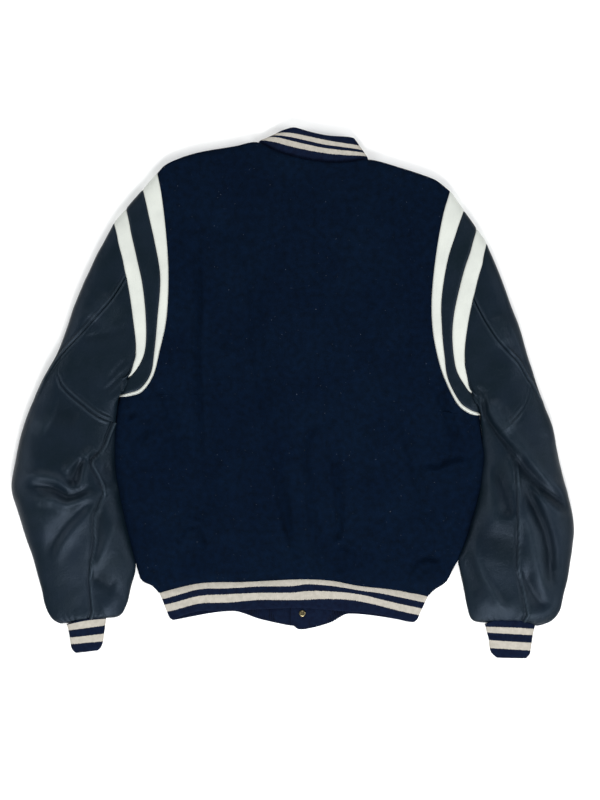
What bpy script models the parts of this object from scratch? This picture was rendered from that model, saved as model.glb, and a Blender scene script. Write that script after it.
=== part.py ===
"""Varsity jacket laid flat on its fronts, back up: wool body, leather sleeves, rib-knit trim, brass snaps.

World axes: X to the right across the back, Y from the waistband to the collar, Z up from the floor.
Tables are in millimetres. Every cloth piece is a loft of outer sections with a wall built inwards.
"""
import bisect
import math
from collections import defaultdict

import bmesh
import bpy
from mathutils import Vector

MM = 0.001

# Driving sizes, in millimetres.
WOOL = 2.6            # melton wall
LEATHER = 2.0         # sleeve leather wall
RIB = 3.0             # doubled rib knit wall
CUFF_WALL = 2.4
UNDERARM_CLEAR = 1.0  # the panels stop this far short of the strips' turn at the underarm
SEAM_GAP = 0.44       # between two pieces sewn edge to edge
HEAD_GAP = 0.8        # the sleeve head's own share, for its narrow end
COLLAR_GAP = 1.2      # the collar's own share, so that its folded corners clear the shoulder seams
LAYER_GAP = 0.5       # between two pieces that lie on each other
BODY_EDGE = 10.5      # height of the body's side fold above the floor
BODY_TOP = 19.0       # crown of the back panel
FOLD_ROUND = 26.0     # how far in from an edge the cloth takes to come level
CLOSURE_X = 14.0      # centre of the front closure
LAP = 16.0            # each front reaches this far past the closure line
CAP_RADIUS = 7.5
CAP_HEIGHT = 1.7
POST_RADIUS = 5.2
POST_HEIGHT = 1.6
SNAP_COUNT = 8
SNAP_SIDES = 12
SNAP_PITCH = 82.0
LOWEST_SNAP_Y = -328.0
EDGE_HOLD = 3         # how quickly a panel's rows lose the shape of its top and bottom edges
CLOSURE_LIFT = CAP_HEIGHT + 0.6   # the closure lies on its snap caps
CLOSURE_FLAT = 22.0   # half width that the caps hold up, and how far beyond it comes down
CLOSURE_FADE = 30.0
LAP_FADE = 50.0       # how far the right front takes to come down off the left one
LAP_CLEAR = 14.0
CLOSURE_CROWN = 15.0  # least height of the back over the lapped closure
CLOSURE_CROWN_FLAT = 16.0
CLOSURE_CROWN_FADE = 14.0
BACK_LEAST = 9.0      # least height of the back's outer face
NECK_CROWN = 5.0      # the back neck seam's rise over its ends
COLLAR_CROWN = 4.5    # the collar's folded edge stands this much above its seam
COLLAR_ROUND = 30.0
FRONT_NECK_LENGTH = 90.0
FRONT_NECK_ROUND = 34.0
BAND_EDGE = 6.2       # height of the waistband's side folds
BAND_CROWN = 9.6      # the band's back part, and its rise over the lapped ends
BAND_LAP_RISE = 2.6
BAND_LAP_FADE = 40.0
BAND_ROUND = 18.0
BAND_INSET = 4.0      # the band's ends stand in from the side folds of the hem
BAND_SEAM = 0.5       # the band stands off the hem's edge
HEM_CLEAR = 3.0       # the wool's hem stands this far above the band, to the wall's outer side
BAND_TUCK = 8.0       # the wool rolls over the band's seam by this much
BAND_TUCK_START = 20.0
BAND_TUCK_FADE = 30.0
HEM_RISE = 0.07       # share of the hem over which it rises from its side fold
STRIP_ACROSS = 235.0  # length of the armhole strips down the back
SLEEVE_ROUND = 34.0   # roundness of the sleeve's folds, and what it gains down the arm
SLEEVE_ROUND_GAIN = 26.0
ROUND_SECTIONS = 5.0
SEAM_SECTIONS = 4.5   # sections over which the armhole's curve turns into the sleeve's straight rows
BOW_SECTIONS = 2.6
BOW_POWER = 1.5
SLEEVE_FOLD_FADE = 30.0
UNDER_ROUND = 24.0    # roundness of a sleeve's folds underneath
CUFF_ROUND = 16.0
CUFF_UNDER_ROUND = 12.0
UNDERARM_START = 0.98 # place round the armhole where the underarm clearance starts
SNAP_FLOAT = 0.3      # the snaps stand this far off the floor and the cloth

# Armhole seam of the wool, from shoulder tip to underarm. x, y: the seam. aim: way the leather
# strips are laid off, in degrees up from straight outward. Then the widths of the three strips.
ARMHOLE = {
    "left": [
        # x,    y,    aim, inner, band, outer
        (-204, 333, -49, 33.0, 38.0, 28.0),
        (-197, 300, -45, 30.0, 37.0, 26.0),
        (-190, 240, -30, 20.0, 33.0, 22.0),
        (-186.5, 180, -10, 12.5, 28.5, 21.5),
        (-189.5, 115, -2, 13.5, 17.5, 19.0),
        (-200, 65, 5, 7.5, 14.5, 13.5),
        (-209, 30, 30, 4.5, 21.5, 10.0),
        (-226, 6, 55, 6.0, 24.0, 6.0),
        (-244, -3, 68, 5.5, 20.0, 4.0),
        (-258, -13, 25, 2.5, 4.0, 2.5),
    ],
    "right": [
        (236, 306, -55, 36.0, 33.5, 26.0),
        (225, 270, -48, 31.0, 33.0, 25.5),
        (215, 215, -30, 20.0, 29.0, 24.0),
        (208, 150, -12, 15.0, 23.0, 23.5),
        (209, 100, 0, 14.0, 16.0, 22.0),
        (217, 56, 8, 10.0, 14.0, 16.5),
        (228, 22, 25, 4.5, 17.0, 14.0),
        (247, -13, 55, 4.5, 21.5, 8.5),
        (266, -27, 66, 5.5, 22.0, 6.0),
        (283, -42, 25, 2.5, 4.5, 2.5),
    ],
}

# Sleeve sections from the armhole to the cuff seam: its outer and inner fold, its height and
# the height of its folds above the floor. Row 0 is the outer strip's edge.
SLEEVE = {
    "left": [
        # out_x, out_y, in_x, in_y, top, edge
        (-268, 258, -266.2, -9.2, 24.0, 10.5),
        (-300, 198, -266.7, -11, 26.0, 10.5),
        (-328, 134, -267, -17, 28.0, 11.0),
        (-350, 72, -267.2, -28, 30.0, 11.5),
        (-379, 16, -267.3, -48, 31.0, 12.0),
        (-400, -34, -267.3, -79, 32.0, 12.0),
        (-417, -100, -266.8, -119, 34.0, 12.5),
        (-422, -138, -261, -160, 35.0, 13.0),
        (-414, -172, -253, -196, 36.0, 13.0),
        (-402, -210, -246, -224, 36.0, 13.0),
        (-388, -252, -238.5, -258, 35.0, 12.5),
        (-378, -288, -243, -288, 33.0, 12.0),
        (-371, -316, -249, -314, 29.0, 11.0),
        (-358, -336, -260, -329, 22.0, 9.0),
        (-341, -343, -279, -334, 14.5, 7.0),
    ],
    "right": [
        (291, 228, 291.6, -38, 24.0, 10.5),
        (317, 163, 292, -40, 26.0, 10.5),
        (338, 105, 292.2, -45, 28.0, 11.0),
        (354, 54, 292.2, -54, 30.0, 11.5),
        (370, 4, 292, -70, 31.0, 12.0),
        (388, -44, 291.2, -94, 32.0, 12.0),
        (400, -98, 286.8, -130, 34.0, 12.5),
        (411, -146, 278, -166, 35.0, 13.0),
        (422, -190, 269, -202, 36.0, 13.0),
        (419, -228, 258, -232, 36.0, 13.0),
        (413, -268, 250, -254, 35.0, 12.5),
        (406, -300, 256, -286, 33.0, 12.0),
        (400, -324, 262, -314, 29.0, 11.0),
        (386, -341, 272, -335, 22.0, 9.0),
        (365, -347, 289, -342, 14.5, 7.0),
    ],
}

# Cuff sections from the sleeve to the folded end.
CUFF = {
    "left": [
        # out_x, out_y, in_x, in_y, top, edge
        (-340, -343.5, -279.5, -334.5, 14.0, 7.0),
        (-337, -360, -281, -353, 13.0, 6.5),
        (-334, -375, -285, -370, 12.5, 6.2),
        (-330, -384, -289, -380, 11.8, 6.0),
        (-326, -387, -293, -384, 11.0, 5.6),
    ],
    "right": [
        (290, -342.5, 363.5, -347.5, 14.0, 7.0),
        (293, -363, 361, -365, 13.0, 6.5),
        (297, -380, 358, -384, 12.5, 6.2),
        (301, -391, 354, -392, 11.8, 6.0),
        (306, -395, 350, -395, 11.0, 5.6),
    ],
}

# Seam between a sleeve's head and elbow, from the armhole's SPLIT place down to the outer fold.
# ELBOW_JOIN is the section where the elbow seam leaves it.
HEAD_SEAM = {
    "left": [
        # section, place round the sleeve
        (0.0, 0.31), (0.9, 0.3), (1.7, 0.258), (2.3, 0.195), (3.1, 0.075), (3.6, 0.05), (4.2, 0.04),
    ],
    "right": [
        (0.0, 0.31), (0.95, 0.308), (1.45, 0.3), (2.1, 0.255), (2.75, 0.175), (3.3, 0.125), (3.6, 0.09),
        (4.3, 0.04),
    ],
}
ELBOW_JOIN = {"left": 3.1, "right": 3.6}

# Seam between a sleeve's elbow and its lower part, from the head seam to the inner fold.
ELBOW_SEAM = {
    "left": [
        # place round the sleeve, section
        (0.075, 3.1), (0.11, 3.45), (0.175, 3.6), (0.235, 3.7), (0.395, 3.8), (0.535, 3.85), (0.685, 3.9),
        (0.835, 3.85), (0.97, 3.65), (1.0, 3.6),
    ],
    "right": [
        (0.09, 3.6), (0.16, 3.8), (0.235, 3.95), (0.385, 4.1), (0.565, 4.2), (0.695, 4.2), (0.855, 4.2),
        (1.0, 4.2),
    ],
}

# Side fold of the body from the waistband up to the underarm.
SIDE = {
    "left": [(-201, -294), (-214, -287), (-229, -279), (-236, -256), (-246, -216), (-255, -180),
             (-263.5, -130), (-263.5, -74), (-262, -38), (-258, -13)],
    "right": [(204, -298), (218, -290), (234, -275), (247, -250), (258, -226), (266, -202),
              (280, -148), (286.5, -102), (286.8, -70), (283, -42)],
}

# Edges of the body, as (x, y) from the left to the right or from the shoulder to the closure.
SHOULDER_AND_NECK = [
    (-204, 333), (-193, 345), (-170, 356), (-140, 365), (-87, 374), (-54, 380), (-27, 367), (10, 356),
    (48, 350), (82, 350), (114, 354), (160, 342), (197, 330), (216, 322), (236, 306),
]
NECK_LEFT = -54.0
NECK_RIGHT = 114.0
BACK_HEM = [
    (-201, -294), (-140, -280), (-72, -278), (10, -274), (56, -276), (100, -284), (146, -289), (204, -298),
]
FRONT_HEM = [(-201, -294), (-120, -289), (-40, -292), (14, -300), (70, -292), (130, -290), (204, -298)]
FRONT_NECK = {"left": [(-54, 380), (-45, 352), (-29, 322), (-5, 290), (30, 268)],
              "right": [(114, 354), (102, 328), (78, 298), (44, 276), (-2, 268)]}

COLLAR_TOP = {"back": [(-10, 399), (38, 393), (90, 386)],
              "left": [(-10, 399), (-6, 372), (2, 345), (14, 324), (30, 314)],
              "right": [(90, 386), (82, 362), (66, 338), (40, 320), (-2, 314)]}

BAND_BACK_END = [
    (-184, -338), (-140, -324), (-92, -323), (10, -320), (78, -324), (123, -328), (182, -341),
]
BAND_FRONT_END = [
    (-184, -338), (-92, -325), (-42, -339), (14, -352), (56, -340), (86, -328), (182, -341),
]

# Soft folds of the back: half width, height (a trough is below zero) and the line the fold follows.
BACK_FOLDS = [
    # half, height, line
    (24, -4.0, [(-146, 262), (-143, 90), (-146, 40), (-138, -165)]),
    (28, -5.0, [(-97, 255), (-61, 195), (-50, 60), (-22, -110), (16, -250)]),
    (14, -3.0, [(44, -34), (20, -72), (24, -140), (36, -220)]),
    (18, -3.0, [(60, -78), (71, -150), (70, -250)]),
    (18, -4.0, [(168, -26), (184, -110), (200, -172)]),
    (14, -4.0, [(216, 22), (236, -38), (246, -75)]),
    (15, -4.0, [(-196, 12), (-185, -20), (-175, -60)]),
    (14, 2.5, [(-230, -82), (-200, -46)]),
    (40, 1.5, [(110, 250), (120, 60)]),
    (22, 2.5, [(-100, 40), (-95, -180)]),
    (16, 3.0, [(-175, -230), (-150, -225)]),
    (16, 3.0, [(190, -250), (215, -245)]),
]

SLEEVE_FOLDS = {
    "left": [
        (12, -7.0, [(-395, -112), (-345, -126), (-334, -142), (-290, -140)]),
        (9, 5.0, [(-336, -108), (-304, -84)]),
        (26, 5.0, [(-304, -190), (-350, -262)]),
        (12, -5.0, [(-296, -190), (-302, -300)]),
        (14, 4.0, [(-270, -170), (-262, -240)]),
        (14, 2.5, [(-278, 150), (-300, 90)]),
        (12, 3.0, [(-290, 10), (-278, -20)]),
    ],
    "right": [
        (12, -8.0, [(290, -14), (306, -48), (345, -92), (400, -160)]),
        (12, 5.0, [(318, -56), (396, -132)]),
        (14, -7.0, [(348, -138), (376, -210), (386, -300)]),
        (13, -5.0, [(300, -110), (326, -168)]),
        (15, 5.0, [(268, -200), (284, -268), (306, -306)]),
        (12, -5.0, [(362, -150), (404, -176)]),
    ],
}

# Stations across a flattened tube, crowded at the folds, and down and across the body.
SPLIT = 0.31
AROUND = [0.0, 0.014, 0.04, 0.08, 0.14, 0.22, SPLIT, 0.41, 0.52, 0.63, 0.74, 0.83, 0.9, 0.957, 0.988, 1.0]
SHOULDER_STEPS = [0.0, 0.02, 0.07, 0.16, 0.28, 0.42, 0.57, 0.72, 0.86, 1.0]
NECK_STEPS = [0.04, 0.1, 0.19, 0.3, 0.43, 0.57, 0.7, 0.81, 0.9, 0.96]
FRONT_NECK_STEPS = [0.08, 0.2, 0.36, 0.56, 0.79, 1.0]
BAND_STEPS = [0.012, 0.034, 0.07, 0.12, 0.2, 0.28, 0.36, 0.43, 0.5, 0.57]
CUFF_STEPS = [0.0, 0.03, 0.11, 0.25, 0.42, 0.58, 0.75, 0.89, 0.97, 1.0]
SIDE_ROWS = 11
STRIP_WALL_ROWS = 3   # rows across the collar and the waistband
ELBOW_ROWS = 4
LOWER_ROWS = 11

COLOURS = {
    "navy_wool": (0.0045, 0.0095, 0.026, 1.0),
    "navy_leather": (0.020, 0.031, 0.048, 1.0),
    "ivory_leather": (0.66, 0.68, 0.62, 1.0),
    "rib_knit": (0.010, 0.017, 0.045, 1.0),
    "brass": (0.30, 0.24, 0.12, 1.0),
}
ROUGHNESS = {"navy_wool": 0.95, "navy_leather": 0.48, "ivory_leather": 0.5, "rib_knit": 0.9, "brass": 0.32}

for leftover in list(bpy.data.objects):
    bpy.data.objects.remove(leftover, do_unlink=True)

jacket = bpy.data.collections.new("varsity_jacket")
bpy.context.scene.collection.children.link(jacket)


def finish_material(name):
    """A plain finish for one of the jacket's cloths."""
    material = bpy.data.materials.get(name)
    if material is None:
        material = bpy.data.materials.new(name)
        material.use_nodes = True
        shader = material.node_tree.nodes["Principled BSDF"]
        shader.inputs["Base Color"].default_value = COLOURS[name]
        shader.inputs["Roughness"].default_value = ROUGHNESS[name]
        shader.inputs["Metallic"].default_value = 1.0 if name == "brass" else 0.0
    return material


def spline(rows, place):
    """A smooth curve through rows, place counted in rows; returns a tuple like a row."""
    last = len(rows) - 1
    start = min(max(int(math.floor(place)), 0), last - 1)
    f = place - start
    before = rows[max(start - 1, 0)]
    after = rows[min(start + 2, last)]
    values = []
    for a, b, c, d in zip(before, rows[start], rows[start + 1], after):
        slope_b = (c - a) / 2
        slope_c = (d - b) / 2
        f2 = f * f
        f3 = f2 * f
        values.append(b * (2 * f3 - 3 * f2 + 1) + slope_b * (f3 - 2 * f2 + f)
                      + c * (3 * f2 - 2 * f3) + slope_c * (f3 - f2))
    return tuple(values)


def along(rows, fraction):
    """The curve through rows at a fraction of its count."""
    return spline(rows, fraction * (len(rows) - 1))


def at_x(rows, x):
    """Straight-line reading of a table of (x, y) at x."""
    if rows[0][0] > rows[-1][0]:
        rows = rows[::-1]
    places = [row[0] for row in rows]
    k = min(max(bisect.bisect_right(places, x), 1), len(rows) - 1)
    (xa, ya), (xb, yb) = rows[k - 1], rows[k]
    f = (x - xa) / (xb - xa)
    return ya + (yb - ya) * f


def ease(value):
    """0 to 1 with level ends."""
    value = min(max(value, 0.0), 1.0)
    return value * value * (3 - 2 * value)


def roll(distance, reach):
    """Quarter ellipse: 0 at an edge, 1 at the reach and beyond."""
    short = 1 - min(max(distance / reach, 0.0), 1.0)
    return math.sqrt(max(1 - short * short, 0.0))


def fold_height(folds, x, y):
    """Sum of the soft folds at a point of the plan."""
    total = 0.0
    for half, height, line in folds:
        nearest = math.inf
        for (x0, y0), (x1, y1) in zip(line, line[1:]):
            dx, dy = x1 - x0, y1 - y0
            f = ((x - x0) * dx + (y - y0) * dy) / (dx * dx + dy * dy)
            f = min(max(f, 0.0), 1.0)
            nearest = min(nearest, math.hypot(x - x0 - f * dx, y - y0 - f * dy))
        total += height * math.exp(-(nearest / half) ** 2)
    return total


def closure_lift(x):
    """How far the snap caps hold the closure off the floor."""
    return CLOSURE_LIFT * (1 - ease((abs(x - CLOSURE_X) - CLOSURE_FLAT) / CLOSURE_FADE))


def sleeve_point(side, ring, section):
    """A point on the sleeve. ring: 0 outer fold, 1 inner fold, below zero underneath.
    section: -3 wool seam, -2 and -1 the strips' seams, 0 outer strip's edge, then SLEEVE's rows."""
    q = abs(ring)
    outward = -1 if side == "left" else 1
    x, y, aim, inner, band, outer = along(ARMHOLE[side], q)
    aim = math.radians(aim)
    widths = [0.0, inner, inner + band, inner + band + outer]
    rows = SLEEVE[side]
    if section <= 0:
        k = min(int(section + 3), 2)
        off = widths[k] + (widths[k + 1] - widths[k]) * (section + 3 - k)
        x += outward * off * math.cos(aim)
        y += off * math.sin(aim)
        top, edge = rows[0][4], rows[0][5]
        across = STRIP_ACROSS
    else:
        out_x, out_y, in_x, in_y, top, edge = spline(rows, section)
        x0, y0, x1, y1 = rows[0][:4]
        seam_x = x + outward * widths[3] * math.cos(aim)
        seam_y = y + widths[3] * math.sin(aim)
        chord = ((seam_x - x0) * (x1 - x0) + (seam_y - y0) * (y1 - y0)) / ((x1 - x0) ** 2 + (y1 - y0) ** 2)
        place = chord + (q - chord) * ease(section / SEAM_SECTIONS)
        bow = (1 - ease(section / BOW_SECTIONS)) ** BOW_POWER
        x = out_x + (in_x - out_x) * place + (seam_x - x0 - (x1 - x0) * chord) * bow
        y = out_y + (in_y - out_y) * place + (seam_y - y0 - (y1 - y0) * chord) * bow
        across = math.hypot(in_x - out_x, in_y - out_y)
    inset = min(q, 1 - q) * across
    if ring >= 0:
        reach = min(SLEEVE_ROUND + SLEEVE_ROUND_GAIN * ease(section / ROUND_SECTIONS), across / 2)
        level = roll(inset, reach)
        crown = top + fold_height(SLEEVE_FOLDS[side], x, y) * ease(inset / SLEEVE_FOLD_FADE)
        z = edge + (crown - edge) * level
    else:
        z = edge * (1 - roll(inset, UNDER_ROUND))
    return Vector((x, y, z))


def cuff_point(side, ring, section):
    """A point on a cuff, ring as on the sleeve."""
    q = abs(ring)
    out_x, out_y, in_x, in_y, top, edge = spline(CUFF[side], section)
    across = math.hypot(in_x - out_x, in_y - out_y)
    inset = min(q, 1 - q) * across
    x = out_x + (in_x - out_x) * q
    y = out_y + (in_y - out_y) * q
    if ring >= 0:
        z = edge + (top - edge) * roll(inset, CUFF_ROUND)
    else:
        z = edge * (1 - roll(inset, CUFF_UNDER_ROUND))
    return Vector((x, y, z))


def body_edge(side, upper):
    """The side fold and the armhole seam as one list, from the waistband to the shoulder tip."""
    points = [Vector((*along(SIDE[side], k / SIDE_ROWS), BODY_EDGE)) for k in range(SIDE_ROWS)]
    sign = 1 if upper else -1
    inward = 1 if side == "left" else -1
    for q in reversed(AROUND):
        clear = UNDERARM_CLEAR if q > UNDERARM_START else 0.0
        points.append(sleeve_point(side, sign * q, -3) + Vector((inward * clear, -clear / 2, 0)))
    return points


def patch(left, right, top, bottom, level, reach):
    """A cloth panel between four edges. level(x, y) is the height it comes to inside them."""
    last_row = len(left) - 1
    last = len(top) - 1
    across = [(point.x - top[0].x) / (top[-1].x - top[0].x) for point in top]
    rows = []
    for j in range(last_row + 1):
        up = ((left[j].y - left[0].y) / (left[-1].y - left[0].y)
              + (right[j].y - right[0].y) / (right[-1].y - right[0].y)) / 2
        row = []
        for i, u in enumerate(across):
            p = left[j].lerp(right[j], u)
            p += (top[i] - top[0].lerp(top[-1], u)) * up ** EDGE_HOLD
            p += (bottom[i] - bottom[0].lerp(bottom[-1], u)) * (1 - up) ** EDGE_HOLD
            if 0 < i < last and 0 < j < last_row:
                share = 1.0
                for edge_point, far in zip((left[j], right[j], top[i], bottom[i]), reach):
                    gap = math.hypot(p.x - edge_point.x, p.y - edge_point.y)
                    share *= roll(gap, far) if far else 1.0
                p.z = max(p.z + (level(p.x, p.y) - p.z) * share, 0.0)
            row.append(p)
        rows.append(row)
    return rows


pieces = []


def lay_piece(name, rows, wall, material, way, ring=False, gap=SEAM_GAP):
    """Note a cloth piece: rows of outer points, its wall, and which way its outside faces."""
    pieces.append({"name": name, "rows": rows, "wall": wall, "material": material, "way": way,
                   "ring": ring, "gap": gap})


def seam_key(point):
    return (round(point.x, 2), round(point.y, 2), round(point.z, 2))


def note_normals(piece, store):
    """Add a piece's face normals to its points, so that pieces that meet share one direction."""
    rows = piece["rows"]
    count = len(rows[0])
    steps = count if piece["ring"] else count - 1
    for j in range(len(rows) - 1):
        for i in range(steps):
            k = (i + 1) % count
            a, b, c, d = rows[j][i], rows[j][k], rows[j + 1][k], rows[j + 1][i]
            normal = (c - a).cross(d - b) * piece["way"]
            for corner in (a, b, c, d):
                store[seam_key(corner)] += normal


def pulled_in(rows, ring, gap):
    """Each edge of the piece moved in by half a seam gap, along the cloth."""
    last = len(rows) - 1
    count = len(rows[0])
    moved = []
    for j in range(last + 1):
        row = []
        for i in range(count):
            shift = Vector((0, 0, 0))
            if j in (0, last):
                inward = rows[1 if j == 0 else last - 1][i] - rows[j][i]
                shift += inward.normalized() * gap / 2
            if not ring and i in (0, count - 1):
                inward = rows[j][1 if i == 0 else count - 2] - rows[j][i]
                shift += inward.normalized() * gap / 2
            row.append(shift)
        moved.append(row)
    return moved


def build_piece(piece, store):
    """Loft the outer sections, then the inner ones a wall's thickness in, and close the edges."""
    rows, ring = piece["rows"], piece["ring"]
    shifts = pulled_in(rows, ring, piece["gap"])
    mesh = bmesh.new()
    layers = []
    for depth in (0.0, piece["wall"]):
        grid = []
        for row, moves in zip(rows, shifts):
            line = []
            for point, move in zip(row, moves):
                normal = store[seam_key(point)].normalized()
                line.append(mesh.verts.new((point + move - normal * depth) * MM))
            grid.append(line)
        layers.append(grid)
    outer, inner = layers
    last = len(rows) - 1
    count = len(rows[0])
    steps = count if ring else count - 1
    for i in range(steps):
        k = (i + 1) % count
        for j in range(last):
            mesh.faces.new((outer[j][i], outer[j][k], outer[j + 1][k], outer[j + 1][i]))
            mesh.faces.new((inner[j][i], inner[j + 1][i], inner[j + 1][k], inner[j][k]))
        mesh.faces.new((outer[0][i], inner[0][i], inner[0][k], outer[0][k]))
        mesh.faces.new((outer[last][i], outer[last][k], inner[last][k], inner[last][i]))
    if not ring:
        for j in range(last):
            mesh.faces.new((outer[j][0], outer[j + 1][0], inner[j + 1][0], inner[j][0]))
            end = count - 1
            mesh.faces.new((outer[j][end], inner[j][end], inner[j + 1][end], outer[j + 1][end]))
    bmesh.ops.recalc_face_normals(mesh, faces=mesh.faces)
    data = bpy.data.meshes.new(piece["name"])
    mesh.to_mesh(data)
    mesh.free()
    data.shade_smooth()
    data.materials.append(finish_material(piece["material"]))
    jacket.objects.link(bpy.data.objects.new(piece["name"], data))


# --- Back panel -------------------------------------------------------------------------------
def back_level(x, y):
    """Height of the back's outer face away from its edges."""
    lie = BODY_TOP + fold_height(BACK_FOLDS, x, y)
    off_closure = abs(x - CLOSURE_X) - CLOSURE_CROWN_FLAT
    over_closure = CLOSURE_CROWN * (1 - ease(off_closure / CLOSURE_CROWN_FADE))
    return max(lie, over_closure, BACK_LEAST)


def neck_rise(x):
    """Height of the back neck seam between the two ends of the collar."""
    inset = min(x - NECK_LEFT, NECK_RIGHT - x)
    return BODY_EDGE + NECK_CROWN * roll(inset, FOLD_ROUND)


def band_top(x):
    """Height of the waistband's back part, over the lapped front ends."""
    off_lap = abs(x - CLOSURE_X) - CLOSURE_FADE
    return BAND_CROWN + BAND_LAP_RISE * (1 - ease(off_lap / BAND_LAP_FADE))


def top_point(x):
    """A point of the shoulder seams or of the back neck seam."""
    return Vector((x, at_x(SHOULDER_AND_NECK, x), neck_rise(x)))


def between(a, b, steps):
    return [a + (b - a) * f for f in steps]


TIP = {side: ARMHOLE[side][0][0] for side in ARMHOLE}
NECK_POINT = {"left": NECK_LEFT, "right": NECK_RIGHT}
shoulder = {}
for side in TIP:
    shoulder[side] = [top_point(x) for x in between(TIP[side], NECK_POINT[side], SHOULDER_STEPS)]
back_neck = [top_point(x) for x in between(NECK_LEFT, NECK_RIGHT, NECK_STEPS)]
back_top = shoulder["left"] + back_neck + shoulder["right"][::-1]
back_bottom = []
hem_left = SIDE["left"][0]
hem_right = SIDE["right"][0]
for point in back_top:
    share = (point.x - TIP["left"]) / (TIP["right"] - TIP["left"])
    x = hem_left[0] + (hem_right[0] - hem_left[0]) * share
    rise = ease(min(share, 1 - share) / HEM_RISE)
    hem_z = BODY_EDGE + (band_top(x) + HEM_CLEAR - BODY_EDGE) * rise
    back_bottom.append(Vector((x, at_x(BACK_HEM, x), hem_z)))
back_rows = patch(body_edge("left", True), body_edge("right", True), back_top, back_bottom, back_level,
                  (FOLD_ROUND, FOLD_ROUND, FOLD_ROUND, FOLD_ROUND))
lay_piece("back_panel", back_rows, WOOL, "navy_wool", 1)


# --- Fronts, lapped at the closure --------------------------------------------------------------
def front_floor(side, x):
    """Height of a front's outer face: the left one on the floor, the right one on top of it."""
    low = closure_lift(x)
    if side == "left":
        return low
    return low + (RIB + LAYER_GAP) * (1 - ease((x - CLOSURE_X - LAP - LAP_CLEAR) / LAP_FADE))


CLOSURE_EDGE = {"left": CLOSURE_X + LAP, "right": CLOSURE_X - LAP}
front_neck = {}
for side, way in (("left", -1), ("right", 1)):
    outer = body_edge(side, False)
    edge_x = CLOSURE_EDGE[side]
    front_neck[side] = []
    for f in FRONT_NECK_STEPS:
        x, y = along(FRONT_NECK[side], f)
        level = roll(f * FRONT_NECK_LENGTH, FRONT_NECK_ROUND)
        z = BODY_EDGE + (front_floor(side, x) - BODY_EDGE) * level
        front_neck[side].append(Vector((x, y, z)))
    top = shoulder[side] + front_neck[side]
    bottom = []
    for point in top:
        share = (point.x - top[0].x) / (top[-1].x - top[0].x)
        x = outer[0].x + (edge_x - outer[0].x) * share
        z = BODY_EDGE + (front_floor(side, x) - BODY_EDGE) * roll(abs(x - outer[0].x), FOLD_ROUND)
        bottom.append(Vector((x, at_x(FRONT_HEM, x), z)))
    closure = []
    for point in outer:
        share = (point.y - outer[0].y) / (outer[-1].y - outer[0].y)
        closure.append(bottom[-1].lerp(top[-1], share))
    rows = patch(outer, closure, top, bottom, lambda x, y: front_floor(side, x),
                 (FOLD_ROUND, None, FOLD_ROUND, None))
    lay_piece(f"front_panel_{side}", rows, WOOL, "navy_wool", way)


# --- Collar: one band of rib round the neck, open at the closure ----------------------------------
def collar_strip():
    """Sections across the collar from the neck seam to its folded top edge."""
    seam = []
    crest = []
    for side, order in (("left", -1), ("back", 1), ("right", 1)):
        if side == "back":
            points = [shoulder["left"][-1]] + back_neck + [shoulder["right"][-1]]
            places = [0.0] + NECK_STEPS + [1.0]
        else:
            points = front_neck[side]
            places = FRONT_NECK_STEPS
        for point, f in list(zip(points, places))[::order]:
            x, y = along(COLLAR_TOP[side], f)
            inset = min(f, 1 - f) * (COLLAR_TOP["back"][-1][0] - COLLAR_TOP["back"][0][0])
            lift = COLLAR_CROWN * roll(inset, COLLAR_ROUND) if side == "back" else 0.0
            seam.append(point)
            crest.append(Vector((x, y, point.z + lift)))
    rows = []
    for k in range(STRIP_WALL_ROWS + 1):
        rows.append([a.lerp(b, k / STRIP_WALL_ROWS) for a, b in zip(seam, crest)])
    return rows


lay_piece("collar_rib", collar_strip(), RIB, "rib_knit", 1, gap=COLLAR_GAP)


# --- Waistband: one band of rib round the hem, its ends lapped as the fronts are ---------------------
def waistband_strip():
    """Sections across the waistband from its seam to its folded lower edge."""
    seam_left, seam_right = hem_left[0] + BAND_INSET, hem_right[0] - BAND_INSET
    end_left, end_right = BAND_BACK_END[0][0], BAND_BACK_END[-1][0]
    half = BAND_STEPS[:-2]
    full = [0.0] + half + [0.5] + [1 - f for f in half][::-1] + [1.0]
    stretches = [("left", BAND_STEPS[::-1]), ("back", full), ("right", [1 - f for f in BAND_STEPS])]
    seam = []
    end = []
    for side, places in stretches:
        for f in places:
            x = seam_left + (seam_right - seam_left) * f
            end_x = end_left + (end_right - end_left) * f
            inset = min(f, 1 - f) * (seam_right - seam_left)
            if side == "back":
                tuck = BAND_TUCK * ease((inset - BAND_TUCK_START) / BAND_TUCK_FADE) - BAND_SEAM
                y = at_x(BACK_HEM, x) + tuck
                end_y = at_x(BAND_BACK_END, end_x)
                level = band_top(x)
            else:
                y = at_x(FRONT_HEM, x) - BAND_SEAM
                end_y = at_x(BAND_FRONT_END, end_x)
                level = front_floor(side, x)
            z = BAND_EDGE + (level - BAND_EDGE) * roll(inset, BAND_ROUND)
            seam.append(Vector((x, y, z)))
            end.append(Vector((end_x, end_y, z)))
    rows = []
    for k in range(STRIP_WALL_ROWS + 1):
        rows.append([a.lerp(b, k / STRIP_WALL_ROWS) for a, b in zip(seam, end)])
    return rows


lay_piece("waistband_rib", waistband_strip(), RIB, "rib_knit", -1)


# --- Armhole strips and sleeves -------------------------------------------------------------------
RING = [-q for q in reversed(AROUND)][1:-1] + AROUND
CUFF_RING = [-q for q in reversed(CUFF_STEPS)][1:-1] + CUFF_STEPS
STRIPS = [
    # name, first section, steps, finish, gap
    ("armhole_stripe_inner", -3, 1, "ivory_leather", 0.9),
    ("armhole_band", -2, 2, "navy_leather", SEAM_GAP),
    ("armhole_stripe_outer", -1, 1, "ivory_leather", SEAM_GAP),
]


HEAD_SHARES = [q / SPLIT for q in AROUND if q <= SPLIT]
ELBOW_SHARES = [(q - SPLIT) / (1 - SPLIT) for q in AROUND if q >= SPLIT]


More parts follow.
